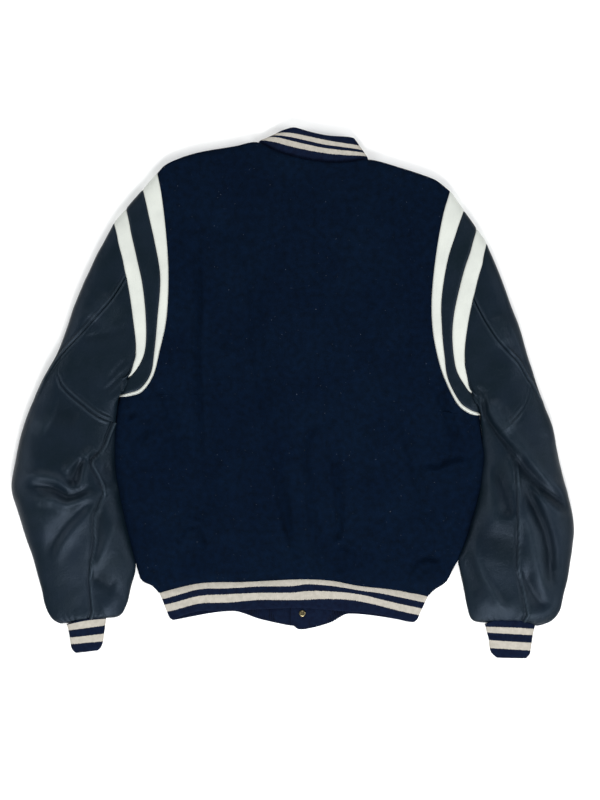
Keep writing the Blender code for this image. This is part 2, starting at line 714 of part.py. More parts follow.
def head_sections(side):
    """Sections of the sleeve head: down to the elbow seam, and on to its end at the outer fold."""
    join, end = ELBOW_JOIN[side], HEAD_SEAM[side][-1][0]
    return [join * k / ELBOW_ROWS for k in range(ELBOW_ROWS + 1)] + [(join + end) / 2, end]


def head_rows(side):
    """The sleeve head narrows along its seam from the armhole to the outer fold."""
    shares = [-f for f in reversed(HEAD_SHARES)][:-1] + HEAD_SHARES
    rows = []
    for section in head_sections(side):
        place = at_x(HEAD_SEAM[side], section)
        rows.append([sleeve_point(side, f * place, section) for f in shares])
    return rows


def elbow_rows(side):
    """The elbow piece, from the head seam on the back round the inner fold to the head seam beneath."""
    join = ELBOW_JOIN[side]
    join_place = at_x(HEAD_SEAM[side], join)
    rows = []
    for k in range(ELBOW_ROWS + 1):
        down = k / ELBOW_ROWS
        seam_place = at_x(HEAD_SEAM[side], join * down)
        half = []
        for f in ELBOW_SHARES:
            section = down * at_x(ELBOW_SEAM[side], join_place + (1 - join_place) * f)
            half.append((seam_place + (1 - seam_place) * f, section))
        top = [sleeve_point(side, place, section) for place, section in half]
        beneath = [sleeve_point(side, -place, section) for place, section in half[-2::-1]]
        rows.append(top + beneath)
    return rows


def lower_rows(side):
    """The lower sleeve: one tube from the head's end and the elbow seam to the cuff."""
    join = ELBOW_JOIN[side]
    join_place = at_x(HEAD_SEAM[side], join)
    middle, end = head_sections(side)[-2:]
    half = [(f * at_x(HEAD_SEAM[side], end), end) for f in HEAD_SHARES]
    half.append((at_x(HEAD_SEAM[side], middle), middle))
    for f in ELBOW_SHARES:
        place = join_place + (1 - join_place) * f
        half.append((place, at_x(ELBOW_SEAM[side], place)))
    ring = [(-place, section) for place, section in half[-2:0:-1]] + half
    cuff_section = len(SLEEVE[side]) - 1
    rows = []
    for k in range(LOWER_ROWS + 1):
        down = k / LOWER_ROWS
        rows.append([sleeve_point(side, place, section + (cuff_section - section) * down)
                     for place, section in ring])
    return rows


for side, way in (("left", -1), ("right", 1)):
    for name, start, steps, material, gap in STRIPS:
        rows = [[sleeve_point(side, r, start + k / steps) for r in RING] for k in range(steps + 1)]
        lay_piece(f"{name}_{side}", rows, LEATHER, material, way, ring=True, gap=gap)
    lay_piece(f"sleeve_head_{side}", head_rows(side), LEATHER, "navy_leather", way, gap=HEAD_GAP)
    lay_piece(f"sleeve_elbow_{side}", elbow_rows(side), LEATHER, "navy_leather", way)
    lay_piece(f"sleeve_lower_{side}", lower_rows(side), LEATHER, "navy_leather", way, ring=True)
    rows = [[cuff_point(side, r, s) for r in CUFF_RING] for s in range(len(CUFF[side]))]
    lay_piece(f"cuff_rib_{side}", rows, CUFF_WALL, "rib_knit", -1, ring=True)

normals = defaultdict(Vector)
for piece in pieces:
    note_normals(piece, normals)
for piece in pieces:
    build_piece(piece, normals)


# --- Snaps: caps on the floor side of the outer front, posts through the inner one --------------------
# Half sections as shares of the radius and of the height.
CAP_PROFILE = [
    # out, up
    (0.0, 0.0), (0.72, 0.0), (0.93, 0.22), (1.0, 0.6), (1.0, 1.0), (0.0, 1.0),
]
POST_PROFILE = [
    (0.0, 0.35), (0.38, 0.35), (0.5, 0.92), (0.68, 1.0), (0.88, 0.8), (1.0, 0.3), (1.0, 0.0), (0.0, 0.0),
]


def turned(name, profile, radius, height, place):
    """A stamped brass piece turned about an upright axis at place (millimetres)."""
    mesh = bpy.data.meshes.new(name)
    points = [(r * radius * MM, 0, z * height * MM) for r, z in profile]
    mesh.from_pydata(points, [(k, k + 1) for k in range(len(points) - 1)], [])
    piece = bpy.data.objects.new(name, mesh)
    piece.location = Vector(place) * MM
    jacket.objects.link(piece)
    screw = piece.modifiers.new("turn", "SCREW")
    screw.axis = "Z"
    screw.steps = SNAP_SIDES
    screw.render_steps = SNAP_SIDES
    screw.use_merge_vertices = True
    screw.merge_threshold = 0.00005
    screw.use_normal_flip = profile[0][1] < profile[-1][1]
    mesh.materials.append(finish_material("brass"))


for index in range(SNAP_COUNT):
    y = LOWEST_SNAP_Y + SNAP_PITCH * index
    cloth = RIB if index == 0 else WOOL
    post_z = CLOSURE_LIFT + RIB + LAYER_GAP + cloth + SNAP_FLOAT
    turned(f"snap_cap_{index + 1}", CAP_PROFILE, CAP_RADIUS, CAP_HEIGHT, (CLOSURE_X, y, SNAP_FLOAT))
    turned(f"snap_post_{index + 1}", POST_PROFILE, POST_RADIUS, POST_HEIGHT, (CLOSURE_X, y, post_z))
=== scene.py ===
"""Varsity jacket laid flat on its fronts: wool melton body, leather sleeves, rib-knit trim, brass snaps.

Sizes are in millimetres. Every cloth piece starts as a flat blank that is laid in place point by point.
"""
import bisect
import math
import random

import bmesh
import bpy
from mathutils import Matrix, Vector, noise


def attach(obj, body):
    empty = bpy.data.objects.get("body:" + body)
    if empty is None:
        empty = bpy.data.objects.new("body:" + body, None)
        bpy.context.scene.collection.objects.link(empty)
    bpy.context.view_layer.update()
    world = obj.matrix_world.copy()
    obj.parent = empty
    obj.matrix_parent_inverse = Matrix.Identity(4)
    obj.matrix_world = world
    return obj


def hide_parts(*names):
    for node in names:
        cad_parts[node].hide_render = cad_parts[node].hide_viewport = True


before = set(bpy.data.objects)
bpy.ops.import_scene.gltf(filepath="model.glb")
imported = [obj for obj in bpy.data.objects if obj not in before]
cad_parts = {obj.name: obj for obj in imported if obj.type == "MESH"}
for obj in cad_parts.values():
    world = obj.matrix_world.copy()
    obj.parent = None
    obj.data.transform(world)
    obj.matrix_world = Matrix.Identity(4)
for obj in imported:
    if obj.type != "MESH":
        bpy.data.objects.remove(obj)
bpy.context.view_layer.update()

MM = 0.001


# --- Camera, floor and light ------------------------------------------------------------------------
# The jacket lies on a pale floor under soft light and is seen from straight above, the collar up,
# through a long lens that keeps its edges square.
LENS = 150.0
SENSOR = 36.0
VIEW_HEIGHT = 1200.0
VIEW_CENTRE = (10.5, -7.5)
JACKET_MIDDLE = 15.0

camera_data = bpy.data.cameras.new("camera")
camera_data.lens = LENS
camera_data.sensor_width = SENSOR
camera_data.clip_end = 30.0
camera = bpy.data.objects.new("camera", camera_data)
camera.location = Vector((*VIEW_CENTRE, JACKET_MIDDLE + VIEW_HEIGHT * LENS / SENSOR)) * MM
bpy.context.scene.collection.objects.link(camera)
bpy.context.scene.camera = camera


def linear(hex_colour):
    """An sRGB hex colour as the linear colour that a shader takes."""
    channels = []
    for k in (1, 3, 5):
        value = int(hex_colour[k:k + 2], 16) / 255
        channels.append(value / 12.92 if value <= 0.04045 else ((value + 0.055) / 1.055) ** 2.4)
    return (*channels, 1.0)


def new_finish(name):
    """An empty material and its shader."""
    finish = bpy.data.materials.new(name)
    finish.use_nodes = True
    return finish, finish.node_tree.nodes["Principled BSDF"]


def add(finish, kind, feeds=None, **settings):
    """Add a shader node. feeds maps its inputs to values or to the sockets that drive them."""
    made = finish.node_tree.nodes.new(kind)
    for name, value in settings.items():
        setattr(made, name, value)
    for name, value in (feeds or {}).items():
        if isinstance(value, bpy.types.NodeSocket):
            finish.node_tree.links.new(value, made.inputs[name])
        else:
            made.inputs[name].default_value = value
    return made


# Matt painted board: a warm white that takes soft contact shadows.
floor_paint, shader = new_finish("floor_matt_paint")
shader.inputs["Base Color"].default_value = linear("#FBFBFA")
shader.inputs["Roughness"].default_value = 0.9
shader.inputs["Specular IOR Level"].default_value = 0.1

floor_mesh = bmesh.new()
bmesh.ops.create_grid(floor_mesh, x_segments=1, y_segments=1, size=3.0)
floor_data = bpy.data.meshes.new("floor")
floor_mesh.to_mesh(floor_data)
floor_mesh.free()
floor_data.materials.append(floor_paint)
floor = bpy.data.objects.new("floor", floor_data)
bpy.context.scene.collection.objects.link(floor)

# Soft boxes stand all round, so that flat leather mirrors the dark room above and folds catch light.
# All face the jacket. The one at the foot is the strongest and draws the folds.
SOFT_BOXES = [
    # name, place, size, watts
    ("foot_box", (0.1, -2.3, 1.9), 1.8, 118.0),
    ("left_box", (-2.5, 0.3, 1.5), 1.4, 34.0),
    ("right_box", (2.5, -0.2, 2.0), 1.6, 50.0),
    ("head_box", (0.2, 2.6, 1.8), 2.0, 45.0),
]
for name, place, size, watts in SOFT_BOXES:
    lamp = bpy.data.lights.new(name, "AREA")
    lamp.shape = "DISK"
    lamp.size = size
    lamp.energy = watts
    box = bpy.data.objects.new(name, lamp)
    box.location = place
    box.rotation_euler = (-Vector(place)).to_track_quat("-Z", "Y").to_euler()
    bpy.context.scene.collection.objects.link(box)

world = bpy.data.worlds.new("studio")
world.use_nodes = True
world.node_tree.nodes["Background"].inputs["Color"].default_value = (0.9, 0.95, 1.0, 1.0)
world.node_tree.nodes["Background"].inputs["Strength"].default_value = 0.28
bpy.context.scene.world = world
bpy.context.scene.view_settings.view_transform = "Standard"


# --- Back panel ---------------------------------------------------------------------------------------
# One piece of navy wool melton, woven, fulled and brushed to a short nap. It is sewn to the collar,
# the armhole strips, the fronts at the side folds and the waistband, over which it blouses.
WOOL = 2.6
BODY_EDGE = 10.5
BODY_TOP = 19.0
FOLD_ROUND = 26.0
CLOSURE_X = 14.0
LAP = 16.0
LAYER_GAP = 0.5
CAP_LIFT = 2.3
OVER_CLOSURE = 15.0
LEAST_LEVEL = 9.0
NECK_RISE = 5.0
RIB = 3.0
RIB_LEVEL = 9.6
RIB_OVER_LAP = 2.6
EDGE_HOLD = 3
HEM_CLEAR = 3.0

# Armhole seam of the wool from shoulder tip to underarm, the way the leather strips are laid off it
# in degrees up from straight outward, and the widths of the three strips.
ARMHOLE = {
    "left": [
        # x, y, aim, inner, band, outer
        (-204, 333, -49, 33.0, 38.0, 28.0),
        (-197, 300, -45, 30.0, 37.0, 26.0),
        (-190, 240, -30, 20.0, 33.0, 22.0),
        (-186.5, 180, -10, 12.5, 28.5, 21.5),
        (-189.5, 115, -2, 13.5, 17.5, 19.0),
        (-200, 65, 5, 7.5, 14.5, 13.5),
        (-209, 30, 30, 4.5, 21.5, 10.0),
        (-225, 6, 55, 5.0, 24.0, 5.0),
        (-244, -1.5, 70, 4.6, 21.6, 2.4),
        (-261, -3, 88, 3.0, 23.2, 0.5),
    ],
    "right": [
        (236, 306, -55, 36.0, 33.5, 26.0),
        (225, 270, -48, 31.0, 33.0, 25.5),
        (215, 215, -30, 20.0, 29.0, 24.0),
        (208, 150, -12, 15.0, 23.0, 23.5),
        (209, 100, 0, 14.0, 16.0, 22.0),
        (217, 56, 8, 10.0, 14.0, 16.5),
        (228, 22, 25, 4.5, 17.0, 14.0),
        (246, -13, 55, 5.0, 21.5, 6.5),
        (264, -27.5, 72, 5.4, 23.2, 2.2),
        (281, -31, 82, 3.6, 25.0, 0.6),
    ],
}

# Sleeve sections from the armhole to the cuff: outer fold, inner fold, crown and height of the folds.
SLEEVE = {
    "left": [
        # out_x, out_y, in_x, in_y, top, edge
        (-268, 258, -262.5, 22, 24.0, 10.5),
        (-300, 198, -262, -4, 26.0, 10.5),
        (-328, 134, -263.5, -19, 28.0, 11.0),
        (-350, 72, -265.2, -33, 27.5, 11.5),
        (-379, 16, -266.2, -50, 28.5, 12.0),
        (-400, -34, -267, -80, 32.5, 12.0),
        (-417, -100, -266, -119, 38.5, 12.5),
        (-422, -138, -257.8, -160, 40.5, 13.0),
        (-414, -172, -249.6, -196, 39.5, 13.0),
        (-402, -210, -242.8, -224, 35.0, 13.0),
        (-388, -252, -236, -256, 29.0, 12.5),
        (-378, -288, -243, -288, 23.5, 12.0),
        (-372.5, -316, -248, -312, 19.5, 11.0),
        (-362, -336, -259, -330, 17.5, 9.0),
        (-347, -344, -279, -334.5, 13.5, 7.0),
    ],
    "right": [
        (291, 228, 285.2, -3, 24.0, 10.5),
        (317, 163, 282.2, -22, 26.0, 10.5),
        (338, 105, 280.6, -41, 28.0, 11.0),
        (354, 54, 282, -51, 29.0, 11.5),
        (370, 4, 284, -69, 31.0, 12.0),
        (388, -44, 286.5, -94, 34.0, 12.0),
        (400, -98, 282.6, -130, 38.0, 12.5),
        (411, -146, 275, -166, 40.5, 13.0),
        (422, -190, 264.8, -202, 39.5, 13.0),
        (419, -228, 254.8, -232, 36.0, 13.0),
        (413, -268, 248, -250, 31.5, 12.5),
        (406, -300, 255, -286, 27.0, 12.0),
        (400, -324, 260.5, -314, 23.0, 11.0),
        (386, -341, 269, -337, 18.0, 9.0),
        (365, -347, 289, -342, 13.5, 7.0),
    ],
}

# How far in from its folds the sleeve is rounded, on top, then how much further towards the cuff, and
# underneath.
SLEEVE_ROUND = 34.0
MORE_ROUND = {"left": 8, "right": 26}
UNDER_ROUND = 24.0
# Width of the sleeve where the strips join it.
ARMHOLE_ACROSS = 235.0

# Folds of the sleeves' upper side. A ridge is a trough below zero.
SLEEVE_FOLDS = {
    "left": [
        # half, trough, left ridge, right ridge, line
        (14.0, -3.5, 0.0, 0.0, [(-400, -33), (-380, -38), (-362, -48)]),
        (18.0, 2.5, 0.0, 0.0, [(-362, -21), (-340, -26), (-320, -38)]),
        (7.5, -4.5, 0.0, 0.0, [(-412, -122), (-386, -120), (-368, -122), (-352, -126), (-339, -136),
                               (-326, -147)]),
        (7.0, 6.5, 0.0, 0.0, [(-310, -88), (-321, -105), (-327, -123), (-332, -138)]),
        (5.5, -3.2, 0.0, 0.0, [(-298, -80), (-316, -93), (-332, -105), (-346, -118)]),
        (4.8, -3.0, 0.0, 0.0, [(-308, -92), (-312, -110), (-314, -128), (-320, -146)]),
        (6.5, 5.0, 0.0, 0.0, [(-410, -142), (-382, -136), (-362, -138), (-348, -144), (-336, -152),
                              (-324, -150), (-310, -142), (-290, -138)]),
        (8.0, -5.5, 0.0, 0.0, [(-394, -160), (-374, -156), (-356, -158), (-340, -164), (-324, -160),
                               (-306, -152), (-286, -147)]),
        (16.0, -3.0, 0.0, 0.0, [(-316, -162), (-344, -171), (-364, -184), (-380, -212)]),
        (9.5, 3.0, 0.0, 0.0, [(-298, -154), (-320, -174), (-340, -195), (-357, -220), (-368, -250)]),
        (9.5, -3.2, 0.0, 0.0, [(-292, -156), (-308, -178), (-328, -200), (-346, -225), (-358, -260)]),
        (7.0, -5.0, 0.0, 0.0, [(-290, -144), (-276, -141), (-256, -136)]),
        (9.0, 3.5, 0.0, 0.0, [(-284, -104), (-274, -110), (-264, -112)]),
        (8.0, -3.0, 0.0, 0.0, [(-262, -176), (-272, -208), (-286, -237), (-304, -267)]),
        (7.0, 2.8, 0.0, 0.0, [(-290, -154), (-290, -188), (-294, -225), (-300, -260)]),
        (11.0, 3.2, 0.0, 0.0, [(-304, -267), (-285, -280), (-262, -290)]),
        (12.0, -2.5, 0.0, 0.0, [(-292, -322), (-272, -316), (-254, -302)]),
        (5.0, 2.5, 0.6, 1.0, [(-290, -84), (-298, -92), (-304, -102)]),
        (14.0, -3.0, 0.0, 0.0, [(-268, 148), (-300, 108)]),
        (4.5, 1.5, 0.8, 0.8, [(-318, 84), (-290, 88), (-262, 92), (-240, 100)]),
        (7.0, 1.0, 0.8, 0.6, [(-322, 96), (-290, 118), (-262, 144)]),
        (3.0, 1.0, 0.6, 0.8, [(-277, 22), (-262, 40), (-248, 52)]),
        (3.0, 1.0, 0.6, 0.8, [(-283, 4), (-266, 20), (-254, 34)]),
    ],
    "right": [
        (12.0, -4.5, 0.0, 0.0, [(318, -8), (330, -56), (345, -80), (360, -102), (375, -122),
                              (390, -137), (405, -152)]),
        (11.0, -5.0, 0.0, 0.0, [(298, -2), (303, -24), (314, -42), (332, -58)]),
        (11.0, 7.0, 0.0, 0.0, [(314, -60), (333, -90), (345, -108), (358, -122), (372, -136),
                              (388, -150), (404, -165), (414, -178)]),
        (10.0, -4.5, 0.0, 0.0, [(356, -140), (374, -154), (394, -170), (410, -188)]),
        (10.0, 5.5, 0.0, 0.0, [(295, -98), (307, -124), (315, -147), (322, -170), (330, -184)]),
        (9.0, -3.0, 0.0, 0.0, [(322, -86), (328, -110), (333, -146)]),
        (8.0, 8.5, 0.0, 0.0, [(340, -118), (354, -148), (367, -176), (379, -204), (385, -232),
                              (387, -262), (394, -302)]),
        (10.0, -4.5, 0.0, 0.0, [(336, -150), (349, -186), (359, -226), (369, -268), (383, -314)]),
        (28.0, 4.0, 0.0, 0.0, [(244, -216), (270, -206), (300, -212), (330, -226), (356, -236)]),
        (17.0, -2.8, 0.0, 0.0, [(266, -304), (308, -318), (350, -318)]),
        (9.0, 4.5, 0.0, 0.0, [(343, -256), (352, -284), (366, -308), (382, -326)]),
        (13.0, -4.0, 0.0, 0.0, [(340, -334), (378, -330), (410, -310)]),
        (13.0, -3.5, 0.0, 0.0, [(286, -96), (292, -130), (297, -165), (302, -215)]),
        (10.0, 3.0, 0.0, 0.0, [(259, -222), (263, -255), (270, -285), (285, -310)]),
        (14.0, -2.5, 0.0, 0.0, [(300, 120), (316, 70)]),
        (14.0, -3.0, 0.0, 0.0, [(396, -60), (408, -120)]),
        (4.2, 5.5, 1.2, 0.0, [(279, 14), (285, -6), (288, -28), (295, -41), (306, -57), (315, -68),
                              (325, -80), (338, -100)]),
        (7.0, 2.4, 0.0, 0.0, [(326, -80), (346, -106), (360, -122), (374, -136), (390, -150), (406, -165)]),
        (3.0, -1.6, 0.0, 0.0, [(319, -14), (322, -34), (325, -50)]),
        (6.0, -3.2, 0.0, 0.0, [(278, -180), (273, -220), (276, -248), (285, -272), (298, -292), (310, -314),
                               (325, -328)]),
        (4.5, 1.0, 0.8, 0.8, [(312, 112), (326, 86), (337, 60), (351, 44)]),
        (4.0, 1.2, 0.8, 0.8, [(272, 12), (283, 4), (292, 0)]),
    ],
}

# Side folds of the body from the waistband to the underarm.
SIDE = {
    "left": [(-202, -297), (-212, -286.5), (-228, -278), (-235.5, -256), (-247, -220), (-256.5, -182),
             (-265.5, -137), (-269.5, -80), (-266.5, -40), (-264, -18), (-261, -3)],
    "right": [(204.5, -301), (213, -292.5), (230, -281), (241, -261), (253.5, -238), (266, -204),
              (282, -147), (289, -95), (283, -58), (281.5, -42), (281, -31)],
}
# Shoulder seams and back neck from tip to tip, then the ends of the neck and the hem of the back.
SHOULDER_AND_NECK = [
    (-204, 333), (-193, 345), (-170, 356), (-140, 365), (-87, 374), (-54, 380), (-27, 367), (10, 356),
    (48, 350), (82, 350), (114, 354), (160, 342), (197, 330), (216, 322), (236, 306),
]
NECK_LEFT = -54.0
NECK_RIGHT = 114.0
BACK_HEM = [
    (-201, -294), (-140, -280), (-72, -278), (10, -274), (56, -276), (100, -284), (146, -289), (204, -298),
]

# The back's large folds, as the solid has them, then its gentler ones. A trough is below zero.
BACK_FOLDS = [
    # half, height, line
    (20, -5.5, [(-146, 262), (-143, 90), (-146, 40), (-138, -165)]),
    (22, -7.0, [(-97, 255), (-61, 195), (-50, 60), (-22, -110), (16, -250)]),
    (16, -5.0, [(44, -34), (20, -72), (24, -140), (36, -220)]),
    (16, -5.0, [(60, -78), (71, -150), (70, -250)]),
    (18, -5.0, [(168, -26), (184, -110), (200, -172)]),
    (14, -5.0, [(216, 22), (236, -38), (246, -75)]),
    (15, -5.0, [(-196, 12), (-185, -20), (-175, -60)]),
    (14, 3.5, [(-230, -82), (-200, -46)]),
    (40, 2.5, [(110, 250), (120, 60)]),
    (22, 4.5, [(-100, 60), (-95, -200)]),
    (18, 4.0, [(125, -60), (130, -210)]),
    (14, -4.0, [(193, -102), (215, -106), (262, -92)]),
    (13, -4.0, [(-148, -215), (-152, -258)]),
    (13, -4.0, [(186, -262), (206, -245)]),
    (16, 3.0, [(-175, -230), (-170, -262)]),
    (16, 3.0, [(196, -272), (222, -268)]),
]
# Its smaller creases, each a trough between two soft ridges.
BACK_CREASES = [
    # half, trough, left ridge, right ridge, line
    (5.0, 3.2, 1.8, 1.0, [(-146, 262), (-143, 184), (-142, 135), (-146, 80), (-144, 22), (-141, -68),
                          (-138, -165)]),
    (7.0, 1.8, 0.8, 1.4, [(-97, 255), (-64, 190), (-57, 150), (-54, 67), (-48, 30), (-34, -52),
                          (-20, -128)]),
    (6.0, 3.4, 1.0, 2.0, [(-34, -52), (-20, -128), (-8, -195), (3, -225), (18, -258)]),
    (5.0, 3.6, 1.2, 1.8, [(44, -34), (29, -49), (20, -68), (18, -90), (22, -120), (29, -187), (37, -220)]),
    (5.0, 3.0, 1.4, 1.6, [(56, -78), (63, -105), (70, -165), (70, -195), (63, -217), (67, -247)]),
    (4.0, 2.4, 1.6, 1.2, [(66, -235), (73, -226), (88, -235), (93, -255)]),
    (6.0, 2.4, 1.0, 1.2, [(168, -25), (172, -67), (181, -100), (190, -135), (200, -172)]),
    (6.0, 3.2, 1.8, 1.2, [(216, 22), (235, -37), (246, -75)]),
    (5.0, 3.4, 1.6, 1.8, [(193, -100), (213, -106), (235, -96), (266, -90)]),
    (4.5, 2.8, 1.6, 1.8, [(175, -270), (183, -250), (201, -243), (223, -249)]),
    (4.5, 3.0, 1.8, 1.6, [(-169, -248), (-169, -213), (-158, -196), (-143, -199), (-136, -220),
                          (-136, -248)]),
    (5.0, 3.2, 1.6, 1.2, [(-252, -40), (-244, -30), (-234, -25)]),
    (7.0, 2.6, 1.4, 1.4, [(-196, 12), (-184, -18), (-175, -52)]),
    (7.0, -2.8, 0.0, 0.0, [(-226, -78), (-213, -64), (-200, -52)]),
    (9.0, 1.6, 1.0, 1.0, [(-240, -120), (-228, -190), (-215, -250)]),
    (9.0, 1.6, 1.0, 1.0, [(262, -120), (248, -190), (226, -250)]),
]


def spline(rows, place):
    """A smooth curve through rows, place counted in rows; returns a tuple like a row."""
    last = len(rows) - 1
    start = min(max(int(math.floor(place)), 0), last - 1)
    f = place - start
    before = rows[max(start - 1, 0)]
    after = rows[min(start + 2, last)]
    f2 = f * f
    f3 = f2 * f
    values = []
    for a, b, c, d in zip(before, rows[start], rows[start + 1], after):
        values.append(b * (2 * f3 - 3 * f2 + 1) + (c - a) / 2 * (f3 - 2 * f2 + f)
                      + c * (3 * f2 - 2 * f3) + (d - b) / 2 * (f3 - f2))
    return tuple(values)


def along(rows, fraction):
    """The same curve, the place given as a share of its whole."""
    return spline(rows, fraction * (len(rows) - 1))


def read(rows, x, column=1):
    """Smooth reading of a column of a table at x, the table's first column."""
    places = [row[0] for row in rows]
    last = len(rows) - 1
    k = min(max(bisect.bisect_right(places, x), 1), last)

    def slope(n):
        a, b = max(n - 1, 0), min(n + 1, last)
        return (rows[b][column] - rows[a][column]) / (rows[b][0] - rows[a][0])

    span = rows[k][0] - rows[k - 1][0]
    f = min(max((x - rows[k - 1][0]) / span, 0.0), 1.0)
    f2 = f * f
    f3 = f2 * f
    return (rows[k - 1][column] * (2 * f3 - 3 * f2 + 1) + slope(k - 1) * span * (f3 - 2 * f2 + f)
            + rows[k][column] * (3 * f2 - 2 * f3) + slope(k) * span * (f3 - f2))


def ease(value):
    """0 to 1 with level ends."""
    value = min(max(value, 0.0), 1.0)
    return value * value * (3 - 2 * value)


def roll(distance, reach):
    """Quarter ellipse: 0 at an edge, 1 at the reach and beyond."""
    short = 1 - min(max(distance / reach, 0.0), 1.0)
    return math.sqrt(max(1 - short * short, 0.0))


def hump(distance, half, centre=0.0):
    """A rounded hump: 1 at its centre and about a third at half its breadth from there."""
    return math.exp(-((distance - centre) / half) ** 2)


def off_line(line, x, y):
    """Signed distance of a point from a line, left of its run above zero, and its place along it."""
    nearest, side, place = math.inf, 1.0, 0.0
    for k in range(len(line) - 1):
        (x0, y0), (x1, y1) = line[k], line[k + 1]
        dx, dy = x1 - x0, y1 - y0
        f = ((x - x0) * dx + (y - y0) * dy) / (dx * dx + dy * dy)
        f = min(max(f, 0.0), 1.0)
        gap = math.hypot(x - x0 - f * dx, y - y0 - f * dy)
        if gap < nearest:
            nearest = gap
            side = 1.0 if dx * (y - y0) - dy * (x - x0) > 0 else -1.0
            place = (k + f) / (len(line) - 1)
    return nearest * side, place


def fold_height(folds, x, y):
    """Sum of the large folds at a point of the plan."""
    return sum(height * hump(off_line(line, x, y)[0], half) for half, height, line in folds)


def crease_height(creases, x, y):
    """Sum of the creases: each a trough with a soft ridge on each side, fading at its ends."""
    total = 0.0
    for half, trough, left, right, line in creases:
        margin = 4 * half
        if not (min(p[0] for p in line) - margin < x < max(p[0] for p in line) + margin
                and min(p[1] for p in line) - margin < y < max(p[1] for p in line) + margin):
            continue
        off, place = off_line(line, x, y)
        fade = ease(min(place, 1 - place) / 0.25)
        ridge = left if off > 0 else right
        away = abs(off) / half
        total += fade * (ridge * hump(away, 0.9, 1.9) - trough * hump(away, 1.0))
    return total


def sleeve_point(side, ring, section):
    """A point on the sleeve. ring: 0 outer fold, 1 inner fold, below zero underneath.
    section: -3 wool seam, -2 and -1 the strips' seams, 0 outer strip's edge, then SLEEVE's rows."""
    q = abs(ring)
    outward = -1 if side == "left" else 1
    x, y, aim, inner, band, outer = along(ARMHOLE[side], q)
    aim = math.radians(aim)
    widths = [0.0, inner, inner + band, inner + band + outer]
    rows = SLEEVE[side]
    if section <= 0:
        k = min(int(section + 3), 2)
        off = widths[k] + (widths[k + 1] - widths[k]) * (section + 3 - k)
        x += outward * off * math.cos(aim)
        y += off * math.sin(aim)
        top, edge = rows[0][4], rows[0][5]
        across = ARMHOLE_ACROSS
    else:
        out_x, out_y, in_x, in_y, top, edge = spline(rows, section)
        x0, y0, x1, y1 = rows[0][:4]
        seam_x = x + outward * widths[3] * math.cos(aim)
        seam_y = y + widths[3] * math.sin(aim)
        chord = ((seam_x - x0) * (x1 - x0) + (seam_y - y0) * (y1 - y0)) / ((x1 - x0) ** 2 + (y1 - y0) ** 2)
        place = chord + (q - chord) * ease(section / 4.5)
        bow = (1 - ease(section / 2.6)) ** 1.5
        x = out_x + (in_x - out_x) * place + (seam_x - x0 - (x1 - x0) * chord) * bow
        y = out_y + (in_y - out_y) * place + (seam_y - y0 - (y1 - y0) * chord) * bow
        across = math.hypot(in_x - out_x, in_y - out_y)
    inset = min(q, 1 - q) * across
    if ring >= 0:
        reach = min(SLEEVE_ROUND + MORE_ROUND[side] * ease(section / 5), across / 2)
        crown = top + crease_height(SLEEVE_FOLDS[side], x, y) * ease(inset / 14)
        z = edge + (crown - edge) * roll(inset, reach)
    else:
        z = edge * (1 - roll(inset, UNDER_ROUND))
    return Vector((x, y, z))


def shares(length, pitch, edge_pitch=0.7, growth=1.5):
    """Places from 0 to 1 across a piece: about pitch apart, and closer together towards its seams."""
    crowded = [0.0]
    step = edge_pitch
    while step < pitch:
        crowded.append(crowded[-1] + step)
        step *= growth
    middle = length - crowded[-1] - crowded[-1]
    count = max(round(middle / pitch), 1)
    inside = [crowded[-1] + middle * k / count for k in range(1, count)]
    return [p / length for p in crowded + inside] + [1 - p / length for p in reversed(crowded)]


def lay_piece(name, across, down, place, wall, finishes, relief, cloth_place=None, way=1, ring=False):
    """Cut a flat blank and lay it: place(u, v) is each point's place in mm, u across it and v along it.
    relief(u, v, point) then raises it along its own surface, and the wall goes inwards from there.
    cloth_place(u, v, point) is what its UV map carries for its material. way is -1 where the blank has
    to be turned over to face outwards, and a ring has its two ends joined."""
    blank = bmesh.new()
    uv_layer = blank.loops.layers.uv.new("cloth")
    columns, rows = len(across) - 1, len(down) - 1
    bmesh.ops.create_grid(blank, x_segments=columns, y_segments=rows, size=0.5, calc_uvs=True)
    laid = {}
    marks = {}
    for vert in blank.verts:
        u = across[round((vert.co.x + 0.5) * columns)]
        v = down[round((vert.co.y + 0.5) * rows)]
        laid[vert] = (u, v)
        vert.co = place(u, v)
        marks[vert] = cloth_place(u, v, vert.co) if cloth_place else (u, v)
    for face in blank.faces:
        for loop in face.loops:
            loop[uv_layer].uv = marks[loop.vert]
    if way < 0:
        bmesh.ops.reverse_faces(blank, faces=blank.faces)
    if ring:
        joins = bmesh.ops.find_doubles(blank, verts=blank.verts, dist=0.01)["targetmap"]
        bmesh.ops.weld_verts(blank, targetmap=joins)
    blank.normal_update()
    raised = {vert: vert.co + vert.normal * relief(*laid[vert], vert.co) for vert in blank.verts}
    for vert, point in raised.items():
        vert.co = point
    bmesh.ops.scale(blank, vec=(MM, MM, MM), verts=blank.verts)
    data = bpy.data.meshes.new(name)
    blank.to_mesh(data)
    blank.free()
    data.shade_smooth()
    for finish in finishes:
        data.materials.append(finish)
    piece = bpy.data.objects.new(name, data)
    bpy.context.scene.collection.objects.link(piece)
    walls = piece.modifiers.new("wall", "SOLIDIFY")
    walls.thickness = wall * MM
    walls.offset = -1
    walls.material_offset = len(finishes) - 1
    walls.material_offset_rim = len(finishes) - 1
    return piece


def seam_dip(distance, depth=0.9, width=1.5):
    """How far cloth is drawn down beside a seam."""
    return -depth * hump(distance, width)


EDGE_STEPS = 400


def edge_line(side, upper, step):
    """The side fold and the armhole seam as one line: step 0 is at the waistband, the last at the tip."""
    place = 2 * step / EDGE_STEPS
    if place < 1:
        return Vector((*along(SIDE[side], place), BODY_EDGE))
    return sleeve_point(side, (1 if upper else -1) * (2 - place), -3)


REACH_COUNTS = 0.35


